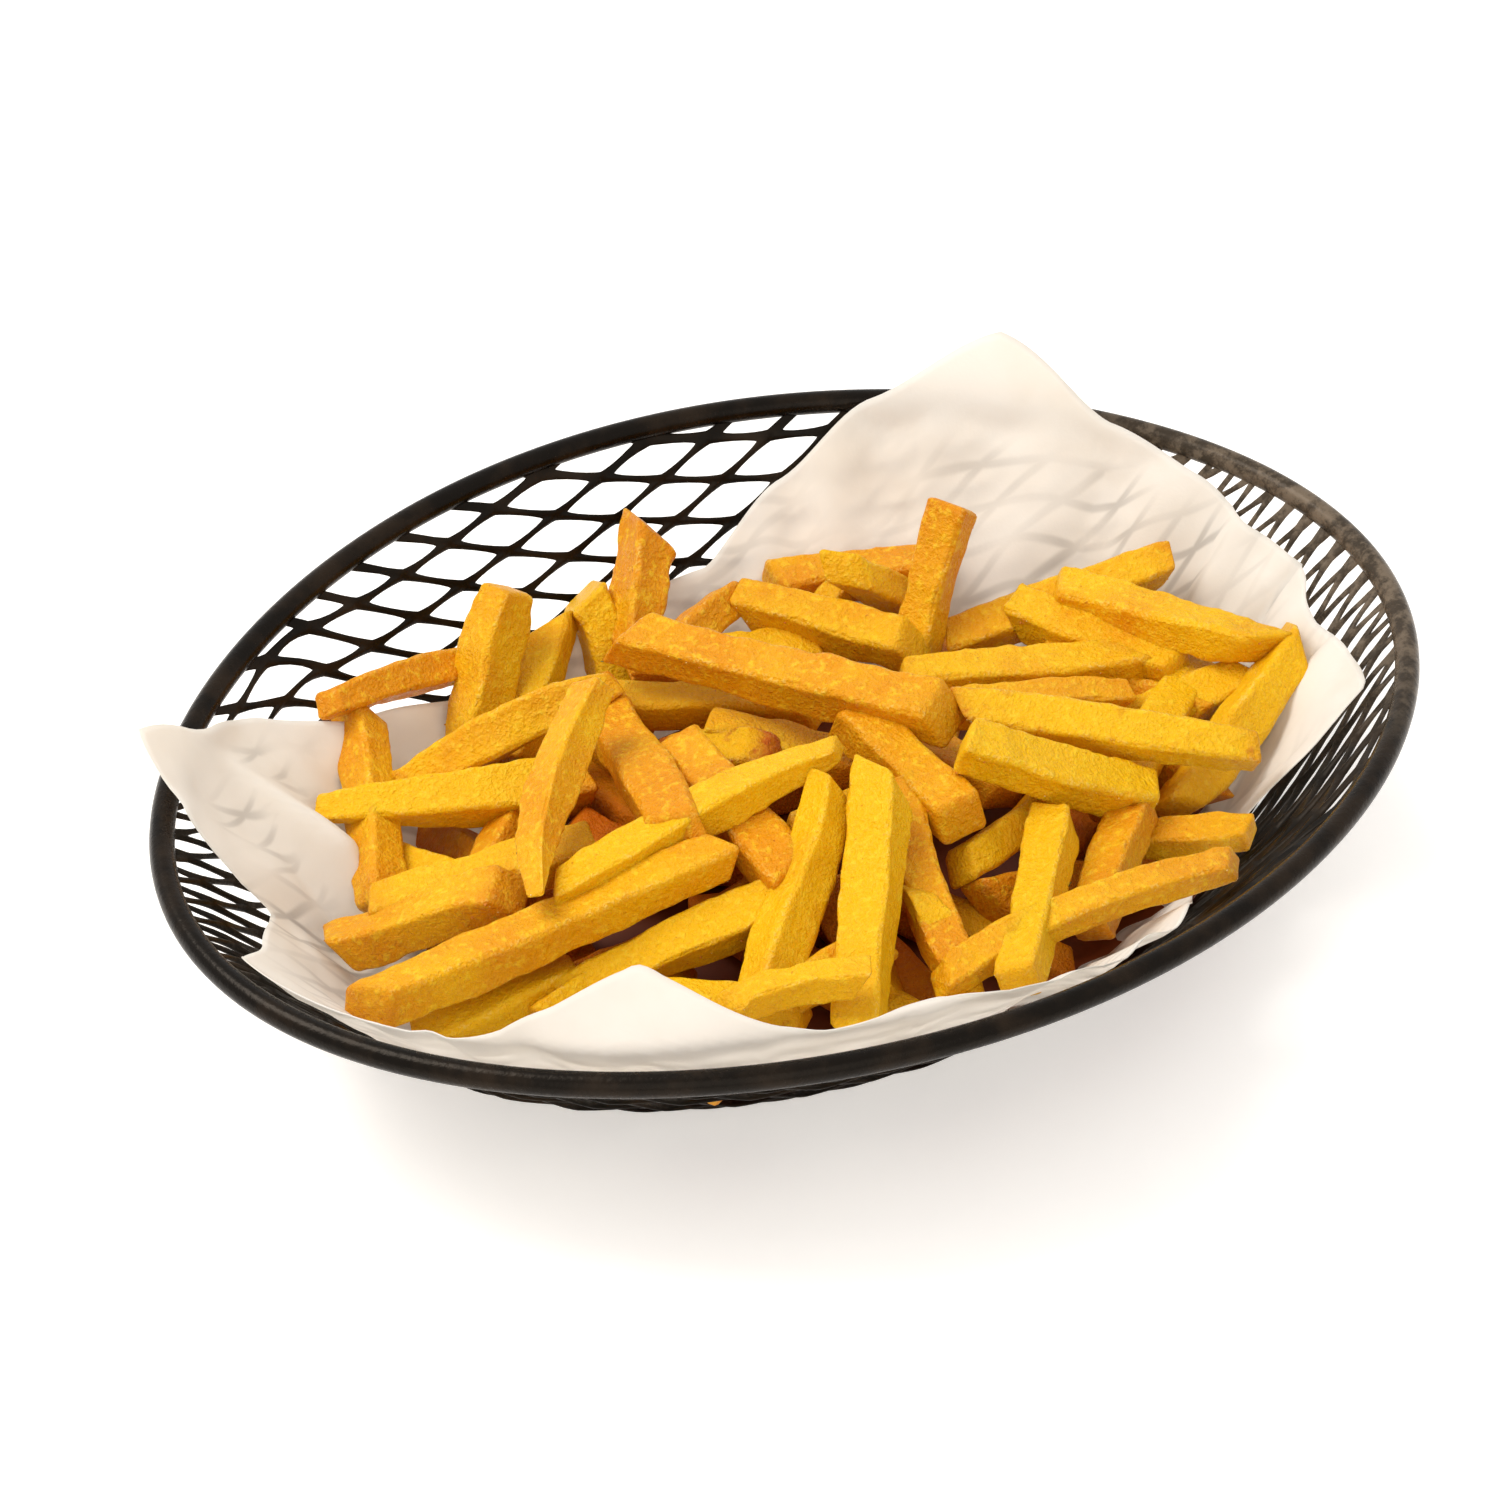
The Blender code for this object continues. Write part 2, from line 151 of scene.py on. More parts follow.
def new_piece(name, points, faces, values=None, smooth=True):
    """A mesh object from points and faces, with named numbers at its points."""
    mesh = bpy.data.meshes.new(name)
    flat_faces = [face for group in faces for face in group.tolist()]
    mesh.from_pydata(points.reshape(-1, 3).tolist(), [], flat_faces)
    for key, numbers in (values or {}).items():
        kind = "FLOAT" if np.ndim(numbers) == 1 else "FLOAT_VECTOR"
        layer = mesh.attributes.new(key, kind, "POINT")
        layer.data.foreach_set("value" if kind == "FLOAT" else "vector",
                               np.asarray(numbers, dtype=np.float32).ravel())
    mesh.update()
    if smooth:
        mesh.shade_smooth()
    piece = bpy.data.objects.new(name, mesh)
    bpy.context.scene.collection.objects.link(piece)
    return piece


def noise(points, scale, seed):
    """Smooth noise from -1 to 1: random numbers on a lattice of cells, blended by smooth weights."""
    table = np.random.default_rng(seed).uniform(-1, 1, 4096)
    place = points / scale
    cell = np.floor(place).astype(np.int64)
    part = place - cell
    part = part * part * (3 - 2 * part)
    total = np.zeros(points.shape[:-1])
    for dx in (0, 1):
        for dy in (0, 1):
            for dz in (0, 1):
                corner = cell + np.array([dx, dy, dz])
                key = (corner @ np.array([73856093, 19349663, 83492791])) % 4096
                weight = np.abs(1 - dx - part[..., 0]) * np.abs(1 - dy - part[..., 1])
                total += table[key] * weight * np.abs(1 - dz - part[..., 2])
    return total


def smoothstep(value):
    """0 below 0, 1 above 1, and an even S between."""
    value = np.clip(value, 0, 1)
    return value * value * (3 - 2 * value)


# %% [markdown]
# ## Materials
# Each finish is one Principled shader. What it shares with others, such as masks and relief, comes
# from a node group with named inputs and outputs, so one group can serve several materials.

# %% Material helpers


def new_group(name, inputs, outputs):
    """An empty node group. Inputs are (name, kind, value), outputs are (name, kind)."""
    group = bpy.data.node_groups.new(name, "ShaderNodeTree")
    for label, kind, value in inputs:
        made = group.interface.new_socket(label, in_out="INPUT", socket_type=kind)
        if value is not None:
            made.default_value = value
    for label, kind in outputs:
        group.interface.new_socket(label, in_out="OUTPUT", socket_type=kind)
    return group, group.nodes.new("NodeGroupInput"), group.nodes.new("NodeGroupOutput")


def add_node(tree, kind, settings=None, **inputs):
    """A node with its settings and inputs; an input is a number, a colour or another's output."""
    node = tree.nodes.new(kind)
    for key, value in (settings or {}).items():
        setattr(node, key, value)
    for key, value in inputs.items():
        socket = node.inputs[int(key[1:])] if key[0] == "i" and key[1:].isdigit() else node.inputs[key]
        if isinstance(value, bpy.types.NodeSocket):
            tree.links.new(value, socket)
        else:
            socket.default_value = value
    return node


def maths(tree, operation, a, b=0.0, c=0.0):
    """One sum in the shader, as an output socket."""
    return add_node(tree, "ShaderNodeMath", {"operation": operation}, i0=a, i1=b, i2=c).outputs[0]


def mix_colour(tree, share, a, b):
    """Colour a where share is 0 and b where it is 1."""
    node = add_node(tree, "ShaderNodeMix", {"data_type": "RGBA"}, i0=share, i6=a, i7=b)
    return node.outputs[2]


def ramp(tree, value, low, high):
    """0 where value is low, 1 where it is high, smooth between."""
    node = add_node(tree, "ShaderNodeMapRange", {"interpolation_type": "SMOOTHSTEP"},
                    i0=value, i1=low, i2=high)
    return node.outputs[0]


def read(tree, name, output="Fac"):
    """The numbers stored at a piece's points."""
    return add_node(tree, "ShaderNodeAttribute", {"attribute_name": name}).outputs[output]


def new_material(name, **values):
    """A material with a Principled shader; keys are its inputs with underscores for spaces."""
    made = bpy.data.materials.new(name)
    made.use_nodes = True
    shader = made.node_tree.nodes["Principled BSDF"]
    for key, value in values.items():
        shader.inputs[key.replace("_", " ")].default_value = value
    return made, made.node_tree, shader


def linear(red, green, blue):
    """A colour as seen on a screen, 0 to 255, as the linear numbers a shader takes."""
    share = np.array([red, green, blue]) / 255
    made = np.where(share <= 0.04045, share / 12.92, ((share + 0.055) / 1.055) ** 2.4)
    return (*[float(part) for part in made], 1.0)


def noise_socket(tree, scale, detail=3.0, roughness=0.55, vector=None):
    """Noise in the piece's own coordinates; scale is in waves a metre."""
    if vector is None:
        vector = add_node(tree, "ShaderNodeTexCoord").outputs["Object"]
    return add_node(tree, "ShaderNodeTexNoise", None, Vector=vector, Scale=scale, Detail=detail,
                    Roughness=roughness).outputs["Fac"]


# %% [markdown]
# ## Black lacquer
# The wire and the mesh are steel under one coat of black lacquer. It is near black, has a soft
# shine, and its faint orange peel breaks up the reflections. Where fingers and trays have rubbed
# it, it turns a little brown and matt. Towards the right-hand end a streaky light brown is painted
# into its colour: a painted sheen, standing in for the light reflected along that end.

# %% Lacquer material


def make_lacquer(name, base, worn, rough):
    """Black lacquer: near-black colours mixed by noise, a painted sheen at the right-hand end, an uneven
    gloss and a fine relief.
    """
    made, tree, shader = new_material(name, Roughness=rough, Specular_IOR_Level=0.15)
    shader.inputs["Specular Tint"].default_value = (1.0, 0.86, 0.72, 1.0)
    wear = ramp(tree, noise_socket(tree, 90.0, 4.0), 0.42, 0.68)
    # painted sheen: towards the right-hand end the colour goes to a streaky light brown, a painted reflection
    # of the light there
    coordinates = add_node(tree, "ShaderNodeTexCoord")
    place = add_node(tree, "ShaderNodeSeparateXYZ", None, Vector=coordinates.outputs["Object"])
    right_end_sheen = ramp(tree, place.outputs["X"], 0.085, 0.122)
    streaks = ramp(tree, noise_socket(tree, 260.0, 5.0, 0.7), 0.40, 0.62)
    black = mix_colour(tree, wear, base, worn)
    # share of the painted sheen, streaked by noise; it mixes in the light brown below
    painted_sheen = maths(tree, "MULTIPLY", right_end_sheen, maths(tree, "MULTIPLY_ADD", streaks, 0.5, 0.2))
    tree.links.new(mix_colour(tree, painted_sheen, black, linear(128, 112, 94)), shader.inputs["Base Color"])
    gloss = maths(tree, "MULTIPLY_ADD", noise_socket(tree, 420.0), 0.22, rough - 0.11)
    tree.links.new(gloss, shader.inputs["Roughness"])
    peel = add_node(tree, "ShaderNodeBump", None, Strength=0.25, Distance=0.0004,
                    Height=noise_socket(tree, 900.0))
    tree.links.new(peel.outputs["Normal"], shader.inputs["Normal"])
    return made


lacquer_wire = make_lacquer("lacquer_wire", linear(10, 7, 5), linear(34, 25, 17), 0.27)
lacquer_mesh = make_lacquer("lacquer_mesh", linear(12, 9, 6), linear(36, 27, 18), 0.40)

# %% [markdown]
# ## Rim wire
# The rim is one round steel wire, bent to an oval and welded shut, with the mesh welded under it.
# A circle carried round the oval gives it; the ring count is high because its outline is the
# longest edge of the whole object.

# %% Rim wire
WIRE_STEPS = 320
WIRE_SIDES = 20
wire_turns = np.linspace(0, 2 * math.pi, WIRE_STEPS, endpoint=False)
wire_sides = np.linspace(0, 2 * math.pi, WIRE_SIDES, endpoint=False)


def tube(path, radius, sides):
    """Closed tube: at each point of the path a circle in the plane of its outward and up directions."""
    ahead = np.roll(path, -1, axis=0) - np.roll(path, 1, axis=0)
    ahead /= np.linalg.norm(ahead, axis=1, keepdims=True)
    outward = np.cross(ahead, [0, 0, 1.0])
    outward /= np.linalg.norm(outward, axis=1, keepdims=True)
    up = np.cross(outward, ahead)
    ring = outward[:, None] * np.cos(sides)[None, :, None] + up[:, None] * np.sin(sides)[None, :, None]
    return path[:, None] + radius * ring


wire_path = on_wall(wire_turns, np.zeros(WIRE_STEPS), 0.0)
wire_points = tube(wire_path, WIRE_RADIUS, wire_sides)
wire_points = np.concatenate([wire_points, wire_points[:1]])
wire_quads = grid_quads(WIRE_STEPS + 1, WIRE_SIDES) % (WIRE_STEPS * WIRE_SIDES)
rim = new_piece("rim_ring", wire_points[:-1], [wire_quads])
rim.data.materials.append(lacquer_wire)
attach(rim, "root")
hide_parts("rim_wire")
print("rim ring", len(rim.data.polygons), "faces")

# %% [markdown]
# ## Expanded metal
# Expanded metal is slit sheet pulled open. The slits become diamonds, and every strand is twisted
# out of the sheet's plane, so from one side it looks narrow and from the other it closes up.
# Each opening is one closed cell: rings of points run from the middle line of its strands over
# the strand to the edge of the hole and back below. Neighbours share their middle lines.

# %% Flat lattice of openings
MESH_LONG = 0.0246                     # diamond, along the basket
MESH_SHORT = 0.0089                    # diamond, across it
MESH_SHIFT = (0.0160, 0.0058)          # from the middle of the bottom to a crossing
END_SQUEEZE = 0.40                     # the diamonds are narrower at the basket's ends
SQUEEZE_FROM, SQUEEZE_TO = 0.072, 0.122
HOLE_LONG, HOLE_SHORT = 0.0094, 0.00335  # half sizes of an opening
HOLE_ROUND = 1.19                      # 1 is a sharp diamond, 2 an ellipse
STRAND_HALF = 0.00036                  # half the sheet's thickness
TWIST = 1.15                           # rise of a strand across its width
TWIST_LIMIT = 0.0009
MESH_LIFT = 0.0012                     # middle of the strands above the basket's outside
CELL_STEPS = 24

half_long, half_short = MESH_LONG / 2, MESH_SHORT / 2
around = np.linspace(0, 2 * math.pi, CELL_STEPS, endpoint=False)


def power_ring(half_u, half_v, power):
    """Closed curve |u/half_u|^p + |v/half_v|^p = 1, a diamond at power 1."""
    cos, sin = np.cos(around), np.sin(around)
    cos[np.abs(cos) < 1e-9] = 0
    sin[np.abs(sin) < 1e-9] = 0
    u = half_u * np.sign(cos) * np.abs(cos) ** (2 / power)
    v = half_v * np.sign(sin) * np.abs(sin) ** (2 / power)
    return np.stack([u, v], axis=-1)


middle_line = power_ring(half_long, half_short, 1.0)
hole_edge = power_ring(HOLE_LONG, HOLE_SHORT, HOLE_ROUND)
index = np.arange(-40, 41)
grid_i, grid_j = np.meshgrid(index, index, indexing="ij")
odd = (grid_i + grid_j) % 2 == 1
centres = np.stack([MESH_SHIFT[0] + grid_i[odd] * half_long,
                    MESH_SHIFT[1] + grid_j[odd] * half_short], axis=-1)

# %% Press the lattice into the basket
MIDDLE_WAY = BOTTOM_WAY + RIM_A - BOTTOM_INSET


def height_at(x, y):
    """Height of the basket's outside at a plan position."""
    inset = inset_of(x, y)
    turn = np.arctan2(y / (RIM_B - inset), x / (RIM_A - inset))
    sag = -RIM_SAG * np.cos(2 * turn) * np.clip(1 - inset / (SAG_FADE * BOTTOM_INSET), 0, 1)
    return np.interp(inset, INSETS, HEIGHTS) + sag


# distance across the basket from its long axis, for many places along it
table_x = np.linspace(0, 0.165, 166)
table_y = np.linspace(0, 0.135, 271)
table_xx, table_yy = np.meshgrid(table_x, table_y, indexing="ij")
table_z = height_at(table_xx, table_yy)
steps = np.hypot(np.diff(table_yy, axis=1), np.diff(table_z, axis=1))
ACROSS = np.concatenate([np.zeros((len(table_x), 1)), np.cumsum(steps, axis=1)], axis=1)


def across(x, y):
    """Distance over the surface from the long axis to (x, y), read between the table's entries."""
    fx = np.clip(np.abs(x) / (table_x[1] - table_x[0]), 0, len(table_x) - 1.001)
    fy = np.clip(np.abs(y) / (table_y[1] - table_y[0]), 0, len(table_y) - 1.001)
    ix, iy = fx.astype(int), fy.astype(int)
    px, py = fx - ix, fy - iy
    low = ACROSS[ix, iy] * (1 - py) + ACROSS[ix, iy + 1] * py
    high = ACROSS[ix + 1, iy] * (1 - py) + ACROSS[ix + 1, iy + 1] * py
    return low * (1 - px) + high * px


def squeeze(x):
    """How much narrower the lattice is at x."""
    return 1 - END_SQUEEZE * smoothstep((np.abs(x) - SQUEEZE_FROM) / (SQUEEZE_TO - SQUEEZE_FROM))


def press(flat):
    """Plan position of a flat point (u, v): u runs along the middle, v across at that place."""
    u, v = flat[..., 0], flat[..., 1]
    inset = np.interp(MIDDLE_WAY - np.abs(u), WAYS, INSETS)
    x = np.sign(u) * (RIM_A - inset)
    goal = np.abs(v) * squeeze(x)
    low, high = np.zeros(x.shape), np.full(x.shape, 0.134)
    for _ in range(26):
        mid = (low + high) / 2
        beyond = across(x, mid) > goal
        high = np.where(beyond, mid, high)
        low = np.where(beyond, low, mid)
    return x, np.sign(v) * (low + high) / 2


def unpress(x, y):
    """Flat point (u, v) that lies at a plan position, the reverse of press."""
    way = np.interp(RIM_A - np.abs(x), INSETS, WAYS)
    return np.sign(x) * (MIDDLE_WAY - way), np.sign(y) * across(x, y) / squeeze(x)


def keep_under_wire(inset):
    """Insets beyond the rim are drawn back into the wire, so that cut cells end inside it."""
    soft = 0.0011
    return np.where(inset < 0, -soft * (1 - np.exp(inset / soft)), inset)


def to_basket(flat, lift):
    """Places of flat points on the basket, with their insets."""
    x, y = press(flat)
    inset = inset_of(x, y)
    turn = np.arctan2(y / (RIM_B - inset), x / (RIM_A - inset))
    inset = keep_under_wire(inset)
    way = np.interp(inset, INSETS, WAYS)
    near_wire = smoothstep((inset - 0.0005) / 0.006)
    return on_wall(turn, way, lift * (0.35 + 0.65 * near_wire)), inset


x0, y0 = press(centres)
nearest = inset_of(x0, y0)
kept = centres[nearest > -0.009]
line_flat = kept[:, None] + middle_line[None]
hole_flat = kept[:, None] + hole_edge[None]
_, hole_inset = to_basket(hole_flat, 0.0)
flare = 0.16 * np.exp(-np.maximum(hole_inset - WIRE_RADIUS, 0) / 0.0010)
hole_flat = hole_flat + (kept[:, None] - hole_flat) * flare[..., None] * np.array([0.35, 1.0])

# across the strand: share of the way to the hole, and height over the middle as a share
SECTION = ((0.0, 1.0), (0.70, 0.95), (0.95, 0.5), (1.0, 0.0), (0.95, -0.5), (0.70, -0.95), (0.0, -1.0))
rings = []
for share, rise in SECTION:
    flat = line_flat + (hole_flat - line_flat) * share
    twist = TWIST * (flat - line_flat)[..., 1] * squeeze(kept[:, :1])
    twist = TWIST_LIMIT * np.tanh(twist / TWIST_LIMIT)
    rings.append(to_basket(flat, MESH_LIFT + twist + rise * STRAND_HALF)[0])
cells = np.stack(rings, axis=1)        # cell, ring, point round it
cell_count, ring_count = cells.shape[0], cells.shape[1]
one_cell = grid_quads(ring_count, CELL_STEPS)
quads = one_cell[None] + (np.arange(cell_count) * ring_count * CELL_STEPS)[:, None, None]
points = cells.reshape(-1, 3)
_, first, same = np.unique(np.round(points, 6), axis=0, return_index=True, return_inverse=True)
quads = same.ravel()[quads.reshape(-1, 4)]
quads = quads[(quads != np.roll(quads, 1, axis=1)).all(axis=1)]
mesh_piece = new_piece("mesh_wall", points[first], [quads])
mesh_piece.data.materials.append(lacquer_mesh)
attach(mesh_piece, "root")
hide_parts("basket_mesh")
print("mesh wall", cell_count, "openings,", len(quads), "faces")

# %% [markdown]
# ## Tissue
# The liner is a square of thin tissue pushed into the basket. Two corners lie out over the rim,
# one stands at the front and folds in over the fries, and the last stops at the right-hand end.
# A surface of two parameters does it: the turn round the basket and the share of the way from the
# middle to the edge. Its height over the mesh is a sum of pleats, creases and soft crumpling.

# %% Paper edge
EDGE_MARKS = (
    (0, -10), (10, -10), (20, -5), (33, 0), (47, 15), (60, 0), (70, -15), (80, -30), (100, -35),
    (115, -35), (130, -25), (148, 0), (155, 14), (162, 0), (168, -25), (180, -15), (188, 0),
    (215, 0), (232, 17), (250, 0), (260, 3), (275, -5), (290, -15), (300, -30), (320, -35),
    (330, -5), (340, -10), (350, -15), (360, -10),
)
PAPER_LIFT = 0.0029
PAPER_STEPS, PAPER_RINGS = 460, 84


def edge_at(turn):
    """How far the paper's edge reaches past the rim, in metres, in an even S between its marks."""
    marks, reach = np.array(EDGE_MARKS, dtype=float).T
    degrees = np.degrees(turn) % 360
    after = np.clip(np.searchsorted(marks, degrees, side="right"), 1, len(marks) - 1)
    share = (degrees - marks[after - 1]) / (marks[after] - marks[after - 1])
    share = 0.5 * share + 0.5 * smoothstep(share)
    return (reach[after - 1] + (reach[after] - reach[after - 1]) * share) / 1000


def bump(value, middle, width):
    """A smooth hump of height 1."""
    return np.exp(-((value - middle) / width) ** 2)


# %% Paper surface
paper_turn = np.linspace(0, 2 * math.pi, PAPER_STEPS, endpoint=False)[None, :]
paper_share = (np.arange(1, PAPER_RINGS + 1) / PAPER_RINGS)[:, None] ** 0.9
reach = edge_at(paper_turn)
middle_reach = 0.088                    # from the middle of the bottom to where the wall starts
full_way = middle_reach + BOTTOM_WAY + reach
travelled = paper_share * full_way
way = BOTTOM_WAY + middle_reach - travelled
centre_share = np.clip(travelled / middle_reach, 0, 1)
base = on_wall(paper_turn + 0 * way, np.minimum(way, BOTTOM_WAY), PAPER_LIFT)
base[..., :2] *= np.where(way > BOTTOM_WAY, centre_share, 1.0)[..., None]
up_wall = smoothstep((BOTTOM_WAY - way) / 0.05)
to_edge = smoothstep(1 - (way + reach) / 0.030)
degrees = np.degrees(paper_turn)

pleats = 0.0016 * np.abs(np.sin(paper_turn * 9.5 + 1.2 * np.sin(3 * paper_turn))) ** 0.6
pleats = pleats + 0.0007 * np.sin(paper_turn * 31 + 2 * np.sin(5 * paper_turn))
sway = noise(base, 0.030, 3) * 0.0012 + noise(base, 0.013, 4) * 0.0006
crumple = -np.abs(noise(base, 0.018, 5)) * 0.0009 + noise(base, 0.0055, 6) * 0.00018
offset = up_wall * (pleats + np.maximum(sway, -0.001)) + (0.3 + 0.7 * up_wall) * crumple
offset = np.maximum(offset, -0.0006)
lifted = 0.0022 * to_edge * (0.5 + 0.5 * np.sin(degrees / 17.0)) * up_wall
over_rim = smoothstep((0.008 - way) / 0.008)
offset = np.where(way < 0.010, np.maximum(offset, 0.0016 * over_rim), offset) + lifted

# a fold stands up at the left, from the wall down to the edge of the bottom
crest_start, crest_end = np.array([-0.096, 0.038]), np.array([-0.081, 0.013])
crest_run = crest_end - crest_start
crest_length = np.linalg.norm(crest_run)
from_start = base[..., :2] - crest_start
crest_along = (from_start @ crest_run) / crest_length ** 2
crest_across = (from_start[..., 0] * crest_run[1] - from_start[..., 1] * crest_run[0]) / crest_length
crest_width = np.where(crest_across > 0, 0.0022, 0.0100)
crest_fade = np.clip(1.3 - np.abs(crest_along - 0.5) * 1.6, 0, 1)
crest = 0.0095 * np.exp(-(crest_across / crest_width) ** 2) * crest_fade
offset = offset + crest

tilt = np.interp(way, WAYS, TILTS)
inward = np.stack([-np.cos(paper_turn) * np.sin(tilt), -np.sin(paper_turn) * np.sin(tilt),
                   np.cos(tilt) + 0 * paper_turn], axis=-1)
sheet_points = base + inward * offset[..., None]

# the front corner folds in over the fries; its neighbour is a small rounded fold
outward = np.stack([np.cos(paper_turn), np.sin(paper_turn), 0 * paper_turn], axis=-1)
past_rim = np.maximum(-way, 0.0)
lean = bump(degrees, 232, 19) + bump(degrees, 258, 5) * 0.8
sheet_points = sheet_points - outward * (past_rim * lean * 1.15)[..., None]
sheet_points[..., 2] -= past_rim * lean * 0.10
middle_point = np.array([[0.0, 0.0, PAPER_LIFT]])
all_points = np.concatenate([middle_point, sheet_points.reshape(-1, 3)])
weave_u, weave_v = unpress(all_points[:, 0], all_points[:, 1])
weave = np.stack([(weave_u - MESH_SHIFT[0]) / MESH_LONG, (weave_v - MESH_SHIFT[1]) / MESH_SHORT,
                  np.zeros(len(all_points))], axis=-1)
# painted shadow of the strands: this share sets how strongly their lines are painted into the tissue, most
# where it lies close on the mesh and at the two places lit from behind
backlit = 0.5 + bump(degrees, 148, 26) + 0.9 * bump(degrees, 22, 24)
strand_shadow_share = np.clip(1.15 - offset / 0.0030, 0, 1) * smoothstep((way - 0.004) / 0.012) * backlit
strand_shadow_share = np.concatenate([[0.5], strand_shadow_share.ravel()])
paper_faces = [fan(0, np.arange(1, PAPER_STEPS + 1)), grid_quads(PAPER_RINGS, PAPER_STEPS, start=1)[:, ::-1]]
paper = new_piece("tissue", all_points, paper_faces, {"weave": weave, "strand_shadow_share": strand_shadow_share})
thickness = paper.modifiers.new("thickness", "SOLIDIFY")
thickness.thickness = 0.00025
thickness.offset = 0.0
print("tissue", len(paper.data.polygons), "faces")

# %% [markdown]
# ## Tissue material
# Thin tissue lets light through, and the black strands behind it show as soft grey lines where it
# touches them. Those lines are painted shadow: a group gives the line mask from the lattice's own
# coordinates, stored at the paper's points, and the colour is darkened along it. Faint fibres and a
# warm cloudy tint finish it.

# %% Strand mask group
strand_group, strand_in, strand_out = new_group(
    "Strands behind",
    [("Weave", "NodeSocketVector", None), ("Width", "NodeSocketFloat", 0.04),
     ("Blur", "NodeSocketFloat", 0.12)],
    [("Mask", "NodeSocketFloat")])
split = add_node(strand_group, "ShaderNodeSeparateXYZ", None, Vector=strand_in.outputs["Weave"])
lines = []
for operation in ("ADD", "SUBTRACT"):
    place = maths(strand_group, operation, split.outputs["X"], split.outputs["Y"])
    from_line = maths(strand_group, "PINGPONG", place, 0.5)
    edge = maths(strand_group, "ADD", strand_in.outputs["Width"], strand_in.outputs["Blur"])
    lines.append(ramp(strand_group, from_line, edge, strand_in.outputs["Width"]))
both = maths(strand_group, "MAXIMUM", lines[0], lines[1])
strand_group.links.new(both, strand_out.inputs["Mask"])

# %% Tissue shader
tissue, tree, shader = new_material("tissue_paper", Roughness=0.85, Specular_IOR_Level=0.25)
strands = add_node(tree, "ShaderNodeGroup", {"node_tree": strand_group}, Weave=read(tree, "weave", "Vector"))
soft = ramp(tree, noise_socket(tree, 28.0, 2.0), 0.38, 0.62)
# painted shadow: the tissue's colour is darkened to grey-brown along the strand lines
painted_strand_shadow = maths(tree, "MULTIPLY", strands.outputs["Mask"], read(tree, "strand_shadow_share"))
painted_strand_shadow = maths(tree, "MULTIPLY", painted_strand_shadow, maths(tree, "MULTIPLY_ADD", soft, 0.34, 0.02))
cloud = ramp(tree, noise_socket(tree, 35.0, 4.0), 0.35, 0.75)
plain = mix_colour(tree, cloud, linear(249, 244, 236), linear(243, 236, 225))
tissue_colour = mix_colour(tree, painted_strand_shadow, plain, linear(120, 108, 94))
tree.links.new(tissue_colour, shader.inputs["Base Color"])
fibres = noise_socket(tree, 1500.0, 2.0)
crepe = add_node(tree, "ShaderNodeBump", None, Strength=0.15, Distance=0.0003, Height=fibres)
tree.links.new(crepe.outputs["Normal"], shader.inputs["Normal"])
through = add_node(tree, "ShaderNodeBsdfTranslucent", None, Color=tissue_colour)
blend = add_node(tree, "ShaderNodeMixShader", None, i0=0.38, i1=shader.outputs[0], i2=through.outputs[0])
tree.links.new(blend.outputs[0], tree.nodes["Material Output"].inputs["Surface"])
paper.data.materials.append(tissue)
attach(paper, "root")
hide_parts("paper_liner")

# %% [markdown]
# ## One fry
# A thick-cut fry is a square stick of potato. Frying rounds its edges, sinks its faces a little,
# bends it and leaves fine blisters; its ends are cut straight, slanted or run out to a point.
# The stick is a rounded square carried along a bent line, with all of that in a few parameters.

# %% Fry surface
FRY_ROWS, FRY_SIDES = 66, 44


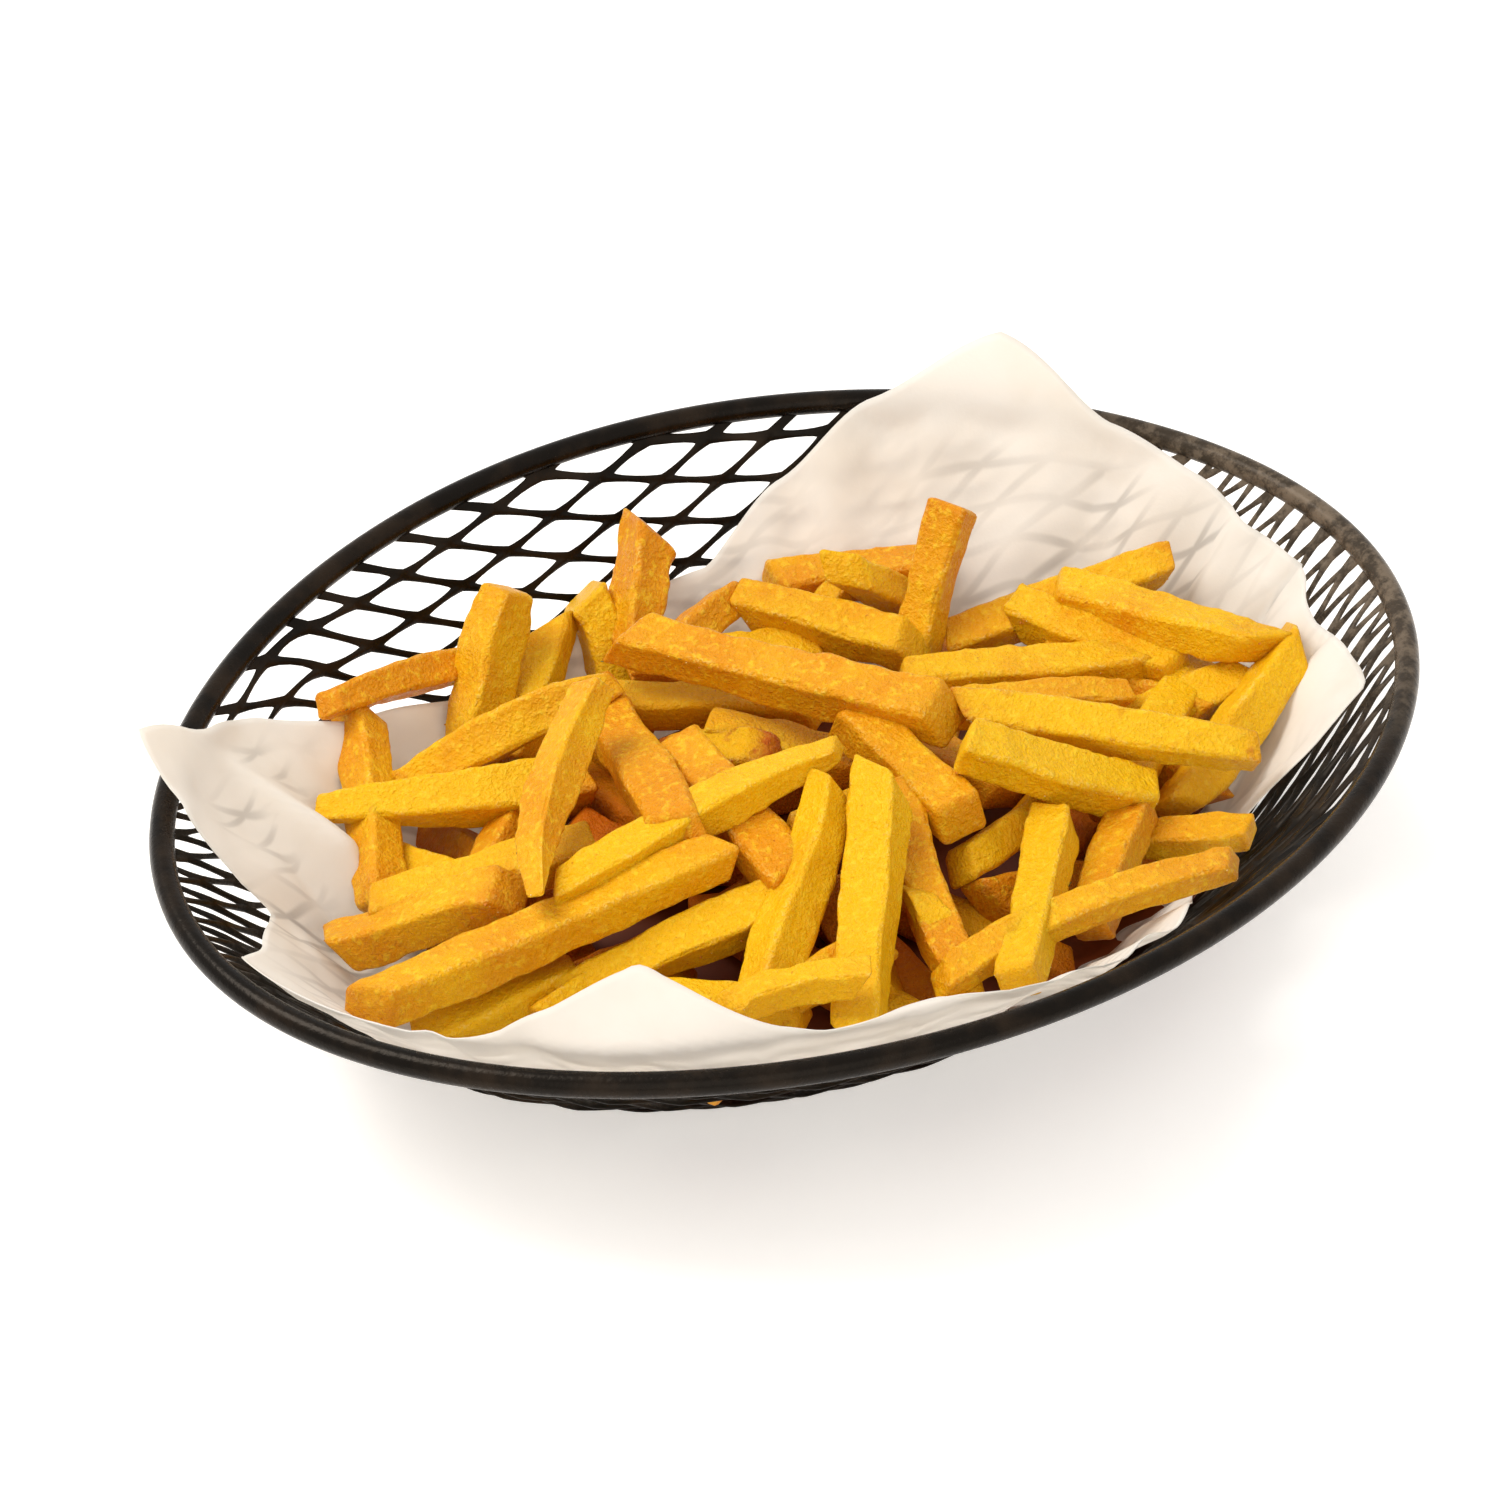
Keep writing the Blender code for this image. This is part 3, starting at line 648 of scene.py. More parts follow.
def fry_shape(length, thick, arch, sway, tips, seed, rows=FRY_ROWS, sides=FRY_SIDES):
    """Points of one fry along +X: rounded square sections on a parabola, narrower towards the tips.

    tips are two numbers: 1 is a blunt cut, 0 a point. Returns points, edge and end masks.
    """
    dice = np.random.default_rng(seed)
    inner = np.linspace(0, 1, rows - 4)
    inner = 0.5 - 0.5 * np.cos(math.pi * (0.06 + 0.88 * inner))
    inner = (inner - inner[0]) / (inner[-1] - inner[0])
    s = np.concatenate([[0, 0], inner, [1, 1]])
    cap = np.concatenate([[0.74, 0.93], np.ones(rows - 4), [0.93, 0.74]])
    out = np.concatenate([[-0.09, -0.055], np.zeros(rows - 4), [0.055, 0.09]]) * thick
    angle = np.linspace(0, 2 * math.pi, sides, endpoint=False) + math.pi / sides
    cos, sin = np.cos(angle), np.sin(angle)
    power = dice.uniform(0.26, 0.40)
    section = np.stack([np.sign(cos) * np.abs(cos) ** power, np.sign(sin) * np.abs(sin) ** power], axis=-1)
    section *= (1 - 0.07 * dice.uniform(0.4, 1.4) * np.cos(2 * angle) ** 4)[:, None]
    narrow = np.ones((rows, 2))
    for near, tip in ((s, tips[0]), (1 - s, tips[1])):
        run = 0.14 + 0.5 * (1 - tip)
        drop = (1 - tip) * np.clip(1 - near / run, 0, 1) ** 1.7
        narrow[:, 0] *= 1 - 0.55 * drop
        narrow[:, 1] *= 1 - 0.97 * drop
    waves = dice.uniform(0, 6.3, 4)
    for side in (0, 1):
        narrow[:, side] *= 1 + 0.07 * np.sin(s * 5 + waves[side]) + 0.03 * np.sin(s * 14 + waves[side + 2])
    half = thick / 2 * np.array([1.04, dice.uniform(0.92, 1.06)])
    flat = section[None] * (narrow * cap[:, None])[:, None] * half
    twist = dice.normal(0, 0.10) * (s - 0.5) * 2
    y = flat[..., 0] * np.cos(twist)[:, None] - flat[..., 1] * np.sin(twist)[:, None]
    z = flat[..., 0] * np.sin(twist)[:, None] + flat[..., 1] * np.cos(twist)[:, None]
    slant = dice.normal(0, 0.42, 4)
    reach = 0.22
    pull = np.clip(1 - s / reach, 0, 1)[:, None] * (slant[0] * y + slant[1] * z)
    pull = pull + np.clip(1 - (1 - s) / reach, 0, 1)[:, None] * (slant[2] * y + slant[3] * z)
    x = (s * length - length / 2 + out)[:, None] + pull
    across_share = 1 - (2 * s - 1) ** 2
    wander = dice.normal(0, 0.35, 2) * thick * 0.10
    y = y + (sway * across_share + wander[0] * np.sin(2 * math.pi * s))[:, None]
    z = z + (arch * across_share + wander[1] * np.sin(2 * math.pi * s))[:, None]
    shape = np.stack([x, y, z], axis=-1)
    middle = np.stack([s * length - length / 2, sway * across_share, arch * across_share], axis=-1)
    normal = shape - middle[:, None]
    normal[..., 0] = 0
    normal /= np.maximum(np.linalg.norm(normal, axis=-1, keepdims=True), 1e-5)
    where = shape + seed * 0.37
    blister = 0.00026 * noise(where, 0.0042, seed + 1) + 0.00020 * noise(where, 0.0021, seed + 2)
    dent = -0.00035 * smoothstep(noise(where, 0.009, seed + 3) * 2 - 0.6)
    corner = np.abs(np.sin(2 * angle)) ** 6
    crumbled = -0.0005 * corner * np.abs(noise(where, 0.0032, seed + 4))
    shape = shape + normal * ((blister + dent + crumbled) * cap[:, None])[..., None]
    edge = np.broadcast_to(corner[None], shape.shape[:2])
    from_end = np.minimum(s, 1 - s) * length
    end = np.broadcast_to(np.exp(-from_end / 0.0035)[:, None], shape.shape[:2])
    poles = np.stack([shape[0].mean(axis=0), shape[-1].mean(axis=0)])
    points = np.concatenate([shape.reshape(-1, 3), poles])
    return points, np.append(edge.ravel(), [0, 0]), np.append(end.ravel(), [1, 1])


def fry_faces(rows=FRY_ROWS, sides=FRY_SIDES):
    """Quads along the stick and a fan at each end."""
    first, last = np.arange(sides), np.arange(sides) + (rows - 1) * sides
    body = grid_quads(rows, sides)
    return body[:, ::-1], fan(rows * sides, first), fan(rows * sides + 1, last)[:, ::-1]


# %% [markdown]
# ## The heap
# Fries drop into the basket one after another and each comes to rest on those below. The same is
# done here for the hidden fries and those listed without a height: each has a place in plan and is
# let down onto a height map until it rests; the others keep their given height unless the paper
# lies higher.
# The lowest line that clears all bumps under it is the place where its middle is lowest.

# %% Height map of the paper and the core
CELL = 0.001
map_x = np.arange(-0.130, 0.1301, CELL)
map_y = np.arange(-0.100, 0.1001, CELL)
map_xx, map_yy = np.meshgrid(map_x, map_y, indexing="ij")
floor_inset = inset_of(map_xx, map_yy)
floor_tilt = np.interp(floor_inset, INSETS, TILTS)
floor_map = height_at(map_xx, map_yy) + 0.0033 / np.cos(floor_tilt)
CORE_MIDDLE = (0.005, -0.008)
CORE_REACH = (0.084, 0.080, 0.064, 0.060)   # left, right, front, back
CORE_HEIGHT = 0.018
HIDDEN_TOP = 0.031                     # the hidden fries reach no higher than this


def core_height(x, y, top=CORE_HEIGHT):
    """Height of the mound under the fries: flat on top, steep at its edge."""
    dx, dy = x - CORE_MIDDLE[0], y - CORE_MIDDLE[1]
    along = np.where(dx < 0, dx / CORE_REACH[0], dx / CORE_REACH[1])
    over = np.where(dy < 0, dy / CORE_REACH[2], dy / CORE_REACH[3])
    return top * np.clip(1 - np.hypot(along, over) ** 2.2, 0, 1) ** 0.8


heights = np.maximum(floor_map, core_height(map_xx, map_yy))


def cells_of(x, y):
    """Indices of the height map's cells."""
    i = np.clip(np.rint((x - map_x[0]) / CELL).astype(int), 0, len(map_x) - 1)
    j = np.clip(np.rint((y - map_y[0]) / CELL).astype(int), 0, len(map_y) - 1)
    return i, j


STEEPEST = 50                          # degrees, for a fry that finds its own lean


def settle(ground, middle, heading, lean, length, thick, sink=0.0016):
    """Height of the middle, and lean, of a fry let down at a plan position onto a map of the ground.

    For each lean the lowest height that clears everything below is found; without a given lean
    the fry takes the one that lets its middle come to rest lowest.
    """
    leans = np.linspace(-STEEPEST, STEEPEST, 101) if lean is None else np.array([lean])
    leans = np.radians(leans)[:, None]
    forward = np.array([math.cos(heading), math.sin(heading)])
    side = np.array([-forward[1], forward[0]])
    s = np.linspace(-0.5, 0.5, 31)[None]
    along = (length * np.cos(leans) * s)[..., None]
    needed = np.full((leans.size, s.size), -1.0)
    for offset in (-0.3, 0.0, 0.3):
        spot = middle + forward * along + side * offset * thick
        i, j = cells_of(spot[..., 0], spot[..., 1])
        clear = ground[i, j] + thick * (0.5 - abs(offset) * 0.3) / np.cos(leans)
        needed = np.maximum(needed, clear - length * np.sin(leans) * s)
    lows = needed.max(axis=1) - sink
    best = int(np.argmin(lows + 0.0004 * np.abs(np.tan(leans[:, 0]))))
    return lows[best], float(leans[best, 0])


def add_to_map(a, b, thick):
    """Raises the height map to the top of a fry between two points."""
    run = np.linalg.norm((b - a)[:2]) + 1e-6
    side = np.array([a[1] - b[1], b[0] - a[0]]) / run
    steep = max(run / np.linalg.norm(b - a), 0.35)
    s = np.linspace(0, 1, 200)
    line = a + (b - a) * s[:, None]
    for offset in np.linspace(-0.5, 0.5, 15):
        i, j = cells_of(*(line[:, :2] + side * offset * thick).T)
        top = line[:, 2] + thick / 2 * math.sqrt(1 - 2.2 * offset ** 2) / steep
        np.maximum.at(heights, (i, j), top)


# %% [markdown]
# ## Where the fries lie
# The fries that show are listed in steps of 5 mm and 5 degrees, from the lowest to the highest:
# the middle, the heading, the lean, the length and a kind. Where the height or the lean is None,
# the fry finds it by settling, and none lies lower than the paper lets it. Its kind gives its
# thickness, its bend and its tips, and dice vary all of them a little, as no two cuts are alike.
# Hidden fries are wholly left to dice.

# %% Kinds of fry, and the fries that show
# thickness and sideways bend in millimetres, then both tips (1 blunt, 0 a point) and browning
KINDS = {
    "stick": (8.5, 0, 1.0, 0.9, 0.2),
    "thick": (9.5, 0, 1.0, 0.9, 0.1),
    "slim": (6.5, 1, 0.8, 0.9, 0.2),
    "tapered": (8.5, 1, 0.9, 0.4, 0.2),
    "pointed": (9.5, -1, 0.2, 1.0, 0.2),
    "bowed": (7.5, -3, 0.8, 0.9, 0.2),
    "sickle": (8.5, -4, 0.8, 0.1, 0.1),
    "browned": (8.5, 0, 0.9, 0.8, 0.8),
}
# x, y, z, heading, lean, length, kind
LAID_LOW = (
    # in the gaps at the left
    (-75, -20, 20, -10, 10, 30, "stick"),
    (-55, -20, 20, -10, 15, 35, "stick"),
    (-70, 20, 20, -60, 10, 30, "stick"),
    (-60, 0, 20, -20, 10, 30, "stick"),
    (-35, 5, 25, -60, 0, 25, "stick"),
    (-30, 55, None, -130, None, 35, "stick"),
    # in the middle and behind
    (-10, 15, 30, -40, 10, 25, "browned"),
    (-5, 30, 30, -30, 0, 45, "stick"),
    (5, 10, 30, -35, -10, 35, "stick"),
    (5, 50, 30, 30, 0, 30, "stick"),
    (15, 45, 25, -20, 0, 25, "stick"),
    (30, 50, None, 0, None, 25, "slim"),
    (45, 45, None, -5, None, 25, "slim"),
    # in the gaps at the right end
    (30, -10, 30, -70, 0, 25, "stick"),
    (30, -30, 30, -160, 0, 30, "stick"),
    (80, -10, 25, -10, 15, 30, "stick"),
    (75, 0, 25, -60, 0, 35, "stick"),
    (60, -45, 25, -40, 15, 25, "slim"),
    # in the gaps at the front
    (-10, -40, 25, -100, -10, 30, "stick"),
    (0, -55, 20, -95, -30, 25, "slim"),
    (-45, -45, 30, -35, 0, 35, "stick"),
    (-25, -50, 30, 10, 0, 25, "stick"),
)
LAID_HIGH = (
    # leaning on the left wall
    (-75, 35, None, -110, None, 45, "stick"),
    (-55, 60, None, 15, None, 40, "slim"),
    (-40, 55, None, 45, None, 40, "thick"),
    (-60, 30, 30, -20, 0, 50, "pointed"),
    (-45, 35, 35, -10, 20, 45, "tapered"),
    (-65, 5, 30, -15, 10, 40, "stick"),
    (-80, 0, 30, -30, 25, 35, "stick"),
    # leaning on the back and the right end
    (-10, 60, None, -90, None, 30, "stick"),
    (0, 65, 30, -125, -30, 30, "stick"),
    (45, 55, None, -25, None, 35, "stick"),
    (30, 40, 30, -50, 0, 35, "stick"),
    (75, 25, 30, -15, 15, 45, "stick"),
    (50, 35, 35, -145, -55, 35, "stick"),
    (75, 10, 30, -60, 0, 35, "stick"),
    (85, -25, None, -155, None, 45, "stick"),
    (85, 5, 35, -60, 5, 45, "thick"),
    # across the middle
    (55, 10, 30, -20, 0, 45, "stick"),
    (50, 0, 30, -20, 0, 40, "slim"),
    (-20, -10, 40, -90, 0, 45, "thick"),
    (-30, 10, 40, -100, 10, 55, "thick"),
    (15, -15, 40, -85, 0, 35, "thick"),
    (55, -25, 40, -35, -5, 55, "browned"),
    # at the front
    (25, -65, None, 175, None, 60, "bowed"),
    (-35, -60, 40, -20, 10, 25, "slim"),
    (-40, -30, 30, -10, 15, 45, "stick"),
    (5, -40, 35, -105, -10, 45, "stick"),
    (40, -50, 30, -135, 0, 35, "stick"),
    (20, -55, 35, -130, 0, 45, "stick"),
    (40, -30, 40, -20, -25, 40, "thick"),
    (-20, -35, 40, 45, 20, 45, "stick"),
    (-10, -45, 40, -125, -20, 50, "thick"),
    # on top
    (-30, -15, 45, 0, 10, 60, "tapered"),
    (-65, -20, 35, -5, 10, 70, "stick"),
    (-50, 0, 50, -130, -10, 50, "sickle"),
    (5, 15, 45, -50, 0, 65, "thick"),
)

# %% Settle and build the fries


def place_fry(middle, heading, lean, length, roll):
    """Both ends of a fry, and the matrix that turns it from the X axis to its heading and lean."""
    forward = Vector((math.cos(lean) * math.cos(heading), math.cos(lean) * math.sin(heading), math.sin(lean)))
    side = Vector((0, 0, 1)).cross(forward).normalized()
    up = forward.cross(side)
    turn = Matrix((forward, side, up)).transposed() @ Matrix.Rotation(math.radians(roll), 3, "X")
    half = np.array(forward) * length / 2
    return middle - half, middle + half, np.array(turn)


def cut_of(kind, dice):
    """Thickness, roll, bends, tips and browning of one fry: its kind's, varied by the dice."""
    thick, sway, first, last, browning = KINDS[kind]
    thick = thick * dice.uniform(0.92, 1.08) / 1000
    roll = dice.choice((0, 15, 45)) + dice.uniform(-10, 10)
    arch, sway = dice.normal(0, 0.0007), (sway + dice.normal(0, 0.5)) / 1000
    tips = np.clip((first + dice.uniform(-0.1, 0.1), last + dice.uniform(-0.1, 0.1)), 0.05, 1)
    return thick, roll, arch, sway, tips, browning * dice.uniform(0.5, 1.5)


def build_fries(name, rows, seed, row_count, side_count, highest=1.0):
    """Places a list of fries in order and joins them; any that would end up too high is left out."""
    faces_of_one = fry_faces(row_count, side_count)
    dice = np.random.default_rng(seed)
    points, faces, edges, ends, tones, browns = [], [], [], [], [], []
    start_index = 0
    for number, (x, y, z, heading, lean, length, kind) in enumerate(rows):
        heading, length = math.radians(heading), length / 1000
        thick, roll, arch, sway, tips, browning = cut_of(kind, dice)
        if z is None or lean is None:
            height, lean = settle(heights, np.array([x, y]) / 1000, heading, lean, length, thick)
        else:
            on_paper, lean = settle(floor_map, np.array([x, y]) / 1000, heading, lean, length, thick, 0)
            height = max(z / 1000, on_paper)
        middle = np.array([x / 1000, y / 1000, height])
        a, b, turn = place_fry(middle, heading, lean, length, roll)
        if max(a[2], b[2]) + thick / 2 > highest:
            continue
        add_to_map(a, b, thick)
        shape, edge, end = fry_shape(length, thick, arch, sway, tips, seed * 100 + number,
                                     row_count, side_count)
        points.append(shape @ turn.T + middle)
        faces += [group + start_index for group in faces_of_one]
        start_index += len(shape)
        edges.append(edge)
        ends.append(end)
        tones.append(np.full(len(shape), dice.uniform(0, 1)))
        browns.append(np.full(len(shape), browning))
    values = {"edge": np.concatenate(edges), "end": np.concatenate(ends),
              "tone": np.concatenate(tones), "brown": np.concatenate(browns)}
    piece = new_piece(name, np.concatenate(points), faces, values)
    print(name, len(points), "fries,", len(piece.data.polygons), "faces")
    return piece


# fries nobody placed fill the heap from below; they rest on the core under those that show
filler_dice = np.random.default_rng(21)
fillers = []
for _ in range(140):
    angle, share = filler_dice.uniform(0, 2 * math.pi), math.sqrt(filler_dice.uniform(0, 1))
    x, y = 4 + 72 * share * math.cos(angle), -6 + 44 * share * math.sin(angle)
    heading, length = filler_dice.uniform(0, 180), filler_dice.uniform(36, 58)
    fillers.append((x, y, None, heading, None, length, "stick"))
low_fries = build_fries("fries_below", fillers, 5, 22, 16, highest=HIDDEN_TOP)
heights = np.maximum(heights, core_height(map_xx, map_yy, HIDDEN_TOP - 0.003))
middle_fries = build_fries("fries_middle", LAID_LOW, 8, 44, 28)
top_fries = build_fries("fries_top", LAID_HIGH, 7, FRY_ROWS, FRY_SIDES)
all_fries = (low_fries, middle_fries, top_fries)

# %% Painted shade deep in the heap, and faces that look up for a painted highlight


def blurred(field, reach):
    """Average over a square of cells on each side of every cell, by sums along both directions."""
    for axis in (0, 1):
        total = np.zeros(field.shape)
        for step in range(-reach, reach + 1):
            total += np.roll(field, step, axis=axis)
        field = total / (2 * reach + 1)
    return field


around_top = blurred(heights, 9)
for piece in all_fries:
    place = np.empty(len(piece.data.vertices) * 3)
    piece.data.vertices.foreach_get("co", place)
    place = place.reshape(-1, 3)
    i, j = cells_of(place[:, 0], place[:, 1])
    # painted shade: the further a point lies below the blurred top of the heap, the more dark amber it gets
    painted_heap_shade = smoothstep((around_top[i, j] - place[:, 2] - 0.001) / 0.020)
    layer = piece.data.attributes.new("painted_heap_shade", "FLOAT", "POINT")
    layer.data.foreach_set("value", painted_heap_shade.astype(np.float32))
    # painted highlight: how far each face looks up, so that the crust paints the tops paler
    normals = np.empty(len(place) * 3)
    piece.data.vertex_normals.foreach_get("vector", normals)
    layer = piece.data.attributes.new("up", "FLOAT", "POINT")
    layer.data.foreach_set("value", smoothstep((normals[2::3] - 0.1) / 0.7).astype(np.float32))

# %% [markdown]
# ## Fried crust
# Fried potato is golden yellow with a soft glow, because light enters the starchy flesh. Edges,
# tips and thin places brown first. The crust group mixes yellow, amber and brown from the masks
# stored with each fry and a few scales of noise, and gives the fine grain for the relief. It also
# paints shade, a dark amber deep in the heap, and a painted highlight, more pale frost on the faces
# that look up.

# %% Crust group
crust_group, crust_in, crust_out = new_group(
    "Fried crust",
    [("Edge", "NodeSocketFloat", 0.0), ("End", "NodeSocketFloat", 0.0), ("Tone", "NodeSocketFloat", 0.5),
     ("Browning", "NodeSocketFloat", 0.2), ("Depth", "NodeSocketFloat", 0.0), ("Up", "NodeSocketFloat", 0.0),
     ("Yellow", "NodeSocketColor", linear(238, 180, 0)), ("Amber", "NodeSocketColor", linear(222, 140, 0)),
     ("Brown", "NodeSocketColor", linear(184, 84, 8)), ("Painted shade colour", "NodeSocketColor", linear(196, 92, 0)),
     ("Pale", "NodeSocketColor", linear(246, 204, 40)), ("Frost and highlight", "NodeSocketColor", linear(250, 216, 118))],
    [("Colour", "NodeSocketColor"), ("Relief", "NodeSocketFloat")])
tree = crust_group
given = crust_in.outputs
broad = noise_socket(tree, 60.0, 3.0)
patch = noise_socket(tree, 300.0, 4.0)
mottle = noise_socket(tree, 620.0, 2.0)
grain = noise_socket(tree, 1500.0, 3.0, 0.6)
amber_share = maths(tree, "MULTIPLY_ADD", given["Tone"], 1.0, -0.35)
amber_share = maths(tree, "ADD", amber_share, maths(tree, "MULTIPLY_ADD", broad, 1.7, -0.65))
colour = mix_colour(tree, ramp(tree, amber_share, 0.0, 1.0), given["Yellow"], given["Amber"])

# pale spots all over, a dry frost of starch on edges, and the same frost on what looks up as a painted
# highlight
pale = maths(tree, "MULTIPLY", ramp(tree, mottle, 0.50, 0.72), 0.55)
colour = mix_colour(tree, pale, colour, given["Pale"])
frost_and_top_highlight = maths(tree, "MULTIPLY_ADD", given["Up"], 0.55, maths(tree, "MULTIPLY", given["Edge"], 0.45))
frost_and_top_highlight = maths(tree, "MULTIPLY", frost_and_top_highlight, ramp(tree, patch, 0.40, 0.66))
frost_and_highlight = maths(tree, "MULTIPLY", ramp(tree, grain, 0.46, 0.62), maths(tree, "ADD", frost_and_top_highlight, 0.06))

# tips, patches and some edges brown
tips = maths(tree, "MULTIPLY", given["End"], maths(tree, "MULTIPLY_ADD", given["Browning"], 0.95, 0.02))
browned_share = maths(tree, "MULTIPLY", given["Browning"], 0.8)
patches = maths(tree, "MULTIPLY", ramp(tree, patch, 0.54, 0.74), browned_share)
edges = maths(tree, "MULTIPLY", maths(tree, "MULTIPLY", given["Edge"], given["Browning"]), 0.4)
whole = maths(tree, "MULTIPLY", ramp(tree, given["Browning"], 0.8, 1.0), 0.75)
browned = maths(tree, "ADD", maths(tree, "ADD", tips, patches), maths(tree, "ADD", edges, whole))
colour = mix_colour(tree, ramp(tree, browned, 0.0, 1.0), colour, given["Brown"])
# painted shade: deep in the heap the colour goes to a dark amber, and there the frost is left out
colour = mix_colour(tree, maths(tree, "MULTIPLY", given["Depth"], 0.9), colour, given["Painted shade colour"])
frost_and_highlight = maths(tree, "MULTIPLY", frost_and_highlight, maths(tree, "SUBTRACT", 1.0, given["Depth"]))
colour = mix_colour(tree, frost_and_highlight, colour, given["Frost and highlight"])
spots = ramp(tree, noise_socket(tree, 800.0, 2.0), 0.70, 0.76)
colour = mix_colour(tree, maths(tree, "MULTIPLY", spots, 0.5), colour, given["Brown"])
tree.links.new(colour, crust_out.inputs["Colour"])
relief = maths(tree, "MULTIPLY_ADD", patch, 0.7, maths(tree, "MULTIPLY", grain, 0.6))
relief = maths(tree, "MULTIPLY_ADD", mottle, 0.4, relief)
tree.links.new(relief, crust_out.inputs["Relief"])

# %% Crust material
crust, tree, shader = new_material("fried_crust", Roughness=0.4, Specular_IOR_Level=0.35,
                                    Subsurface_Weight=0.16,
                                   Subsurface_Scale=0.003)
shader.inputs["Subsurface Radius"].default_value = (1.0, 0.55, 0.08)
shader.inputs["Specular Tint"].default_value = (1.0, 0.86, 0.5, 1.0)
crust_node = add_node(tree, "ShaderNodeGroup", {"node_tree": crust_group}, Edge=read(tree, "edge"),
                      End=read(tree, "end"), Tone=read(tree, "tone"), Browning=read(tree, "brown"),
                      Depth=read(tree, "painted_heap_shade"), Up=read(tree, "up"))
tree.links.new(crust_node.outputs["Colour"], shader.inputs["Base Color"])
skin = add_node(tree, "ShaderNodeBump", None, Strength=1.0, Distance=0.0010,
                Height=crust_node.outputs["Relief"])
tree.links.new(skin.outputs["Normal"], shader.inputs["Normal"])
shine = maths(tree, "MULTIPLY_ADD", noise_socket(tree, 500.0), 0.4, 0.20)
tree.links.new(shine, shader.inputs["Roughness"])
for piece in all_fries:
    piece.data.materials.append(crust)
    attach(piece, "root")
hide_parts("fries_heap")

# %% [markdown]
# ## Core
# Under the fries a low mound closes the gaps, so that no look between two fries falls through to
# the tissue. It is a polar surface, browner than the fries because it lies in their shade.

# %% Core mound
CORE_STEPS, CORE_RINGS = 96, 24
core_turn = np.linspace(0, 2 * math.pi, CORE_STEPS, endpoint=False)[None]
core_share = np.linspace(0, 1, CORE_RINGS + 1)[1:, None]
reach_x = np.where(np.cos(core_turn) < 0, CORE_REACH[0], CORE_REACH[1])
reach_y = np.where(np.sin(core_turn) < 0, CORE_REACH[2], CORE_REACH[3])
core_x = CORE_MIDDLE[0] + core_share * reach_x * np.cos(core_turn) * 0.97
core_y = CORE_MIDDLE[1] + core_share * reach_y * np.sin(core_turn) * 0.97
core_z = np.maximum(core_height(core_x, core_y) - 0.002, 0.0)
core_floor = height_at(core_x, core_y) + 0.0042
core_top = np.stack([core_x, core_y, np.maximum(core_z, core_floor + 0.0004)], axis=-1)
core_low = np.stack([core_x, core_y, core_floor], axis=-1)
ring_total = CORE_RINGS * CORE_STEPS
core_points = np.concatenate([core_top.reshape(-1, 3), core_low.reshape(-1, 3),
                              [[*CORE_MIDDLE, CORE_HEIGHT - 0.002], [*CORE_MIDDLE, 0.0042]]])
lip = np.arange(CORE_STEPS) + (CORE_RINGS - 1) * CORE_STEPS
skirt = np.stack([lip, np.roll(lip, -1), np.roll(lip, -1) + ring_total, lip + ring_total], axis=-1)
core_faces = [fan(2 * ring_total, np.arange(CORE_STEPS)), grid_quads(CORE_RINGS, CORE_STEPS)[:, ::-1],
              fan(2 * ring_total + 1, np.arange(CORE_STEPS) + ring_total)[:, ::-1],
              grid_quads(CORE_RINGS, CORE_STEPS, start=ring_total), skirt[:, ::-1]]
core = new_piece("heap_core", core_points, core_faces)
shade, tree, shader = new_material("shaded_crust", Base_Color=linear(118, 50, 2), Roughness=0.6)
core.data.materials.append(shade)
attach(core, "root")

# %% [markdown]
# ## Herbs and crumbs
# A pinch of dried herbs and salt was thrown over the fries. The flecks are thin curled leaves a
# millimetre or two long, and the crumbs are bits of crust and salt. Each kind is one piece.

# %% Scatter on the fries


def scatter_spots(piece, count, seed, up_least=0.35):
    """Random points on a piece's faces that look up, with their normals."""
    mesh = piece.data
    centres_of = np.empty(len(mesh.polygons) * 3)
    normals_of = np.empty(len(mesh.polygons) * 3)
    mesh.polygons.foreach_get("center", centres_of)
    mesh.polygons.foreach_get("normal", normals_of)
    centres_of, normals_of = centres_of.reshape(-1, 3), normals_of.reshape(-1, 3)
    i, j = cells_of(centres_of[:, 0], centres_of[:, 1])
    open_top = (normals_of[:, 2] > up_least) & (centres_of[:, 2] > heights[i, j] - 0.004)
    chosen = np.flatnonzero(open_top)
    if count is not None:
        chosen = np.random.default_rng(seed).choice(chosen, count, replace=False)
    return centres_of[chosen], normals_of[chosen]


def spot_at(piece, x, y):
    """The highest of a piece's faces near a plan position, and its normal."""
    spots, normals = scatter_spots(piece, None, 0)
    near = np.argsort(np.hypot(spots[:, 0] - x, spots[:, 1] - y))[:12]
    best = near[np.argmax(spots[near, 2])]
    return spots[best], normals[best]


def frames_for(normals, seed):
    """A random turn about each normal: two directions in the surface for every spot."""
    dice = np.random.default_rng(seed)
    helper = dice.normal(size=normals.shape)
    first = np.cross(normals, helper)
    first /= np.linalg.norm(first, axis=1, keepdims=True)
    return first, np.cross(normals, first)


LARGE_LEAF = (0.001, 0.018, 0.0044)    # place and length of the one leaf that catches the eye


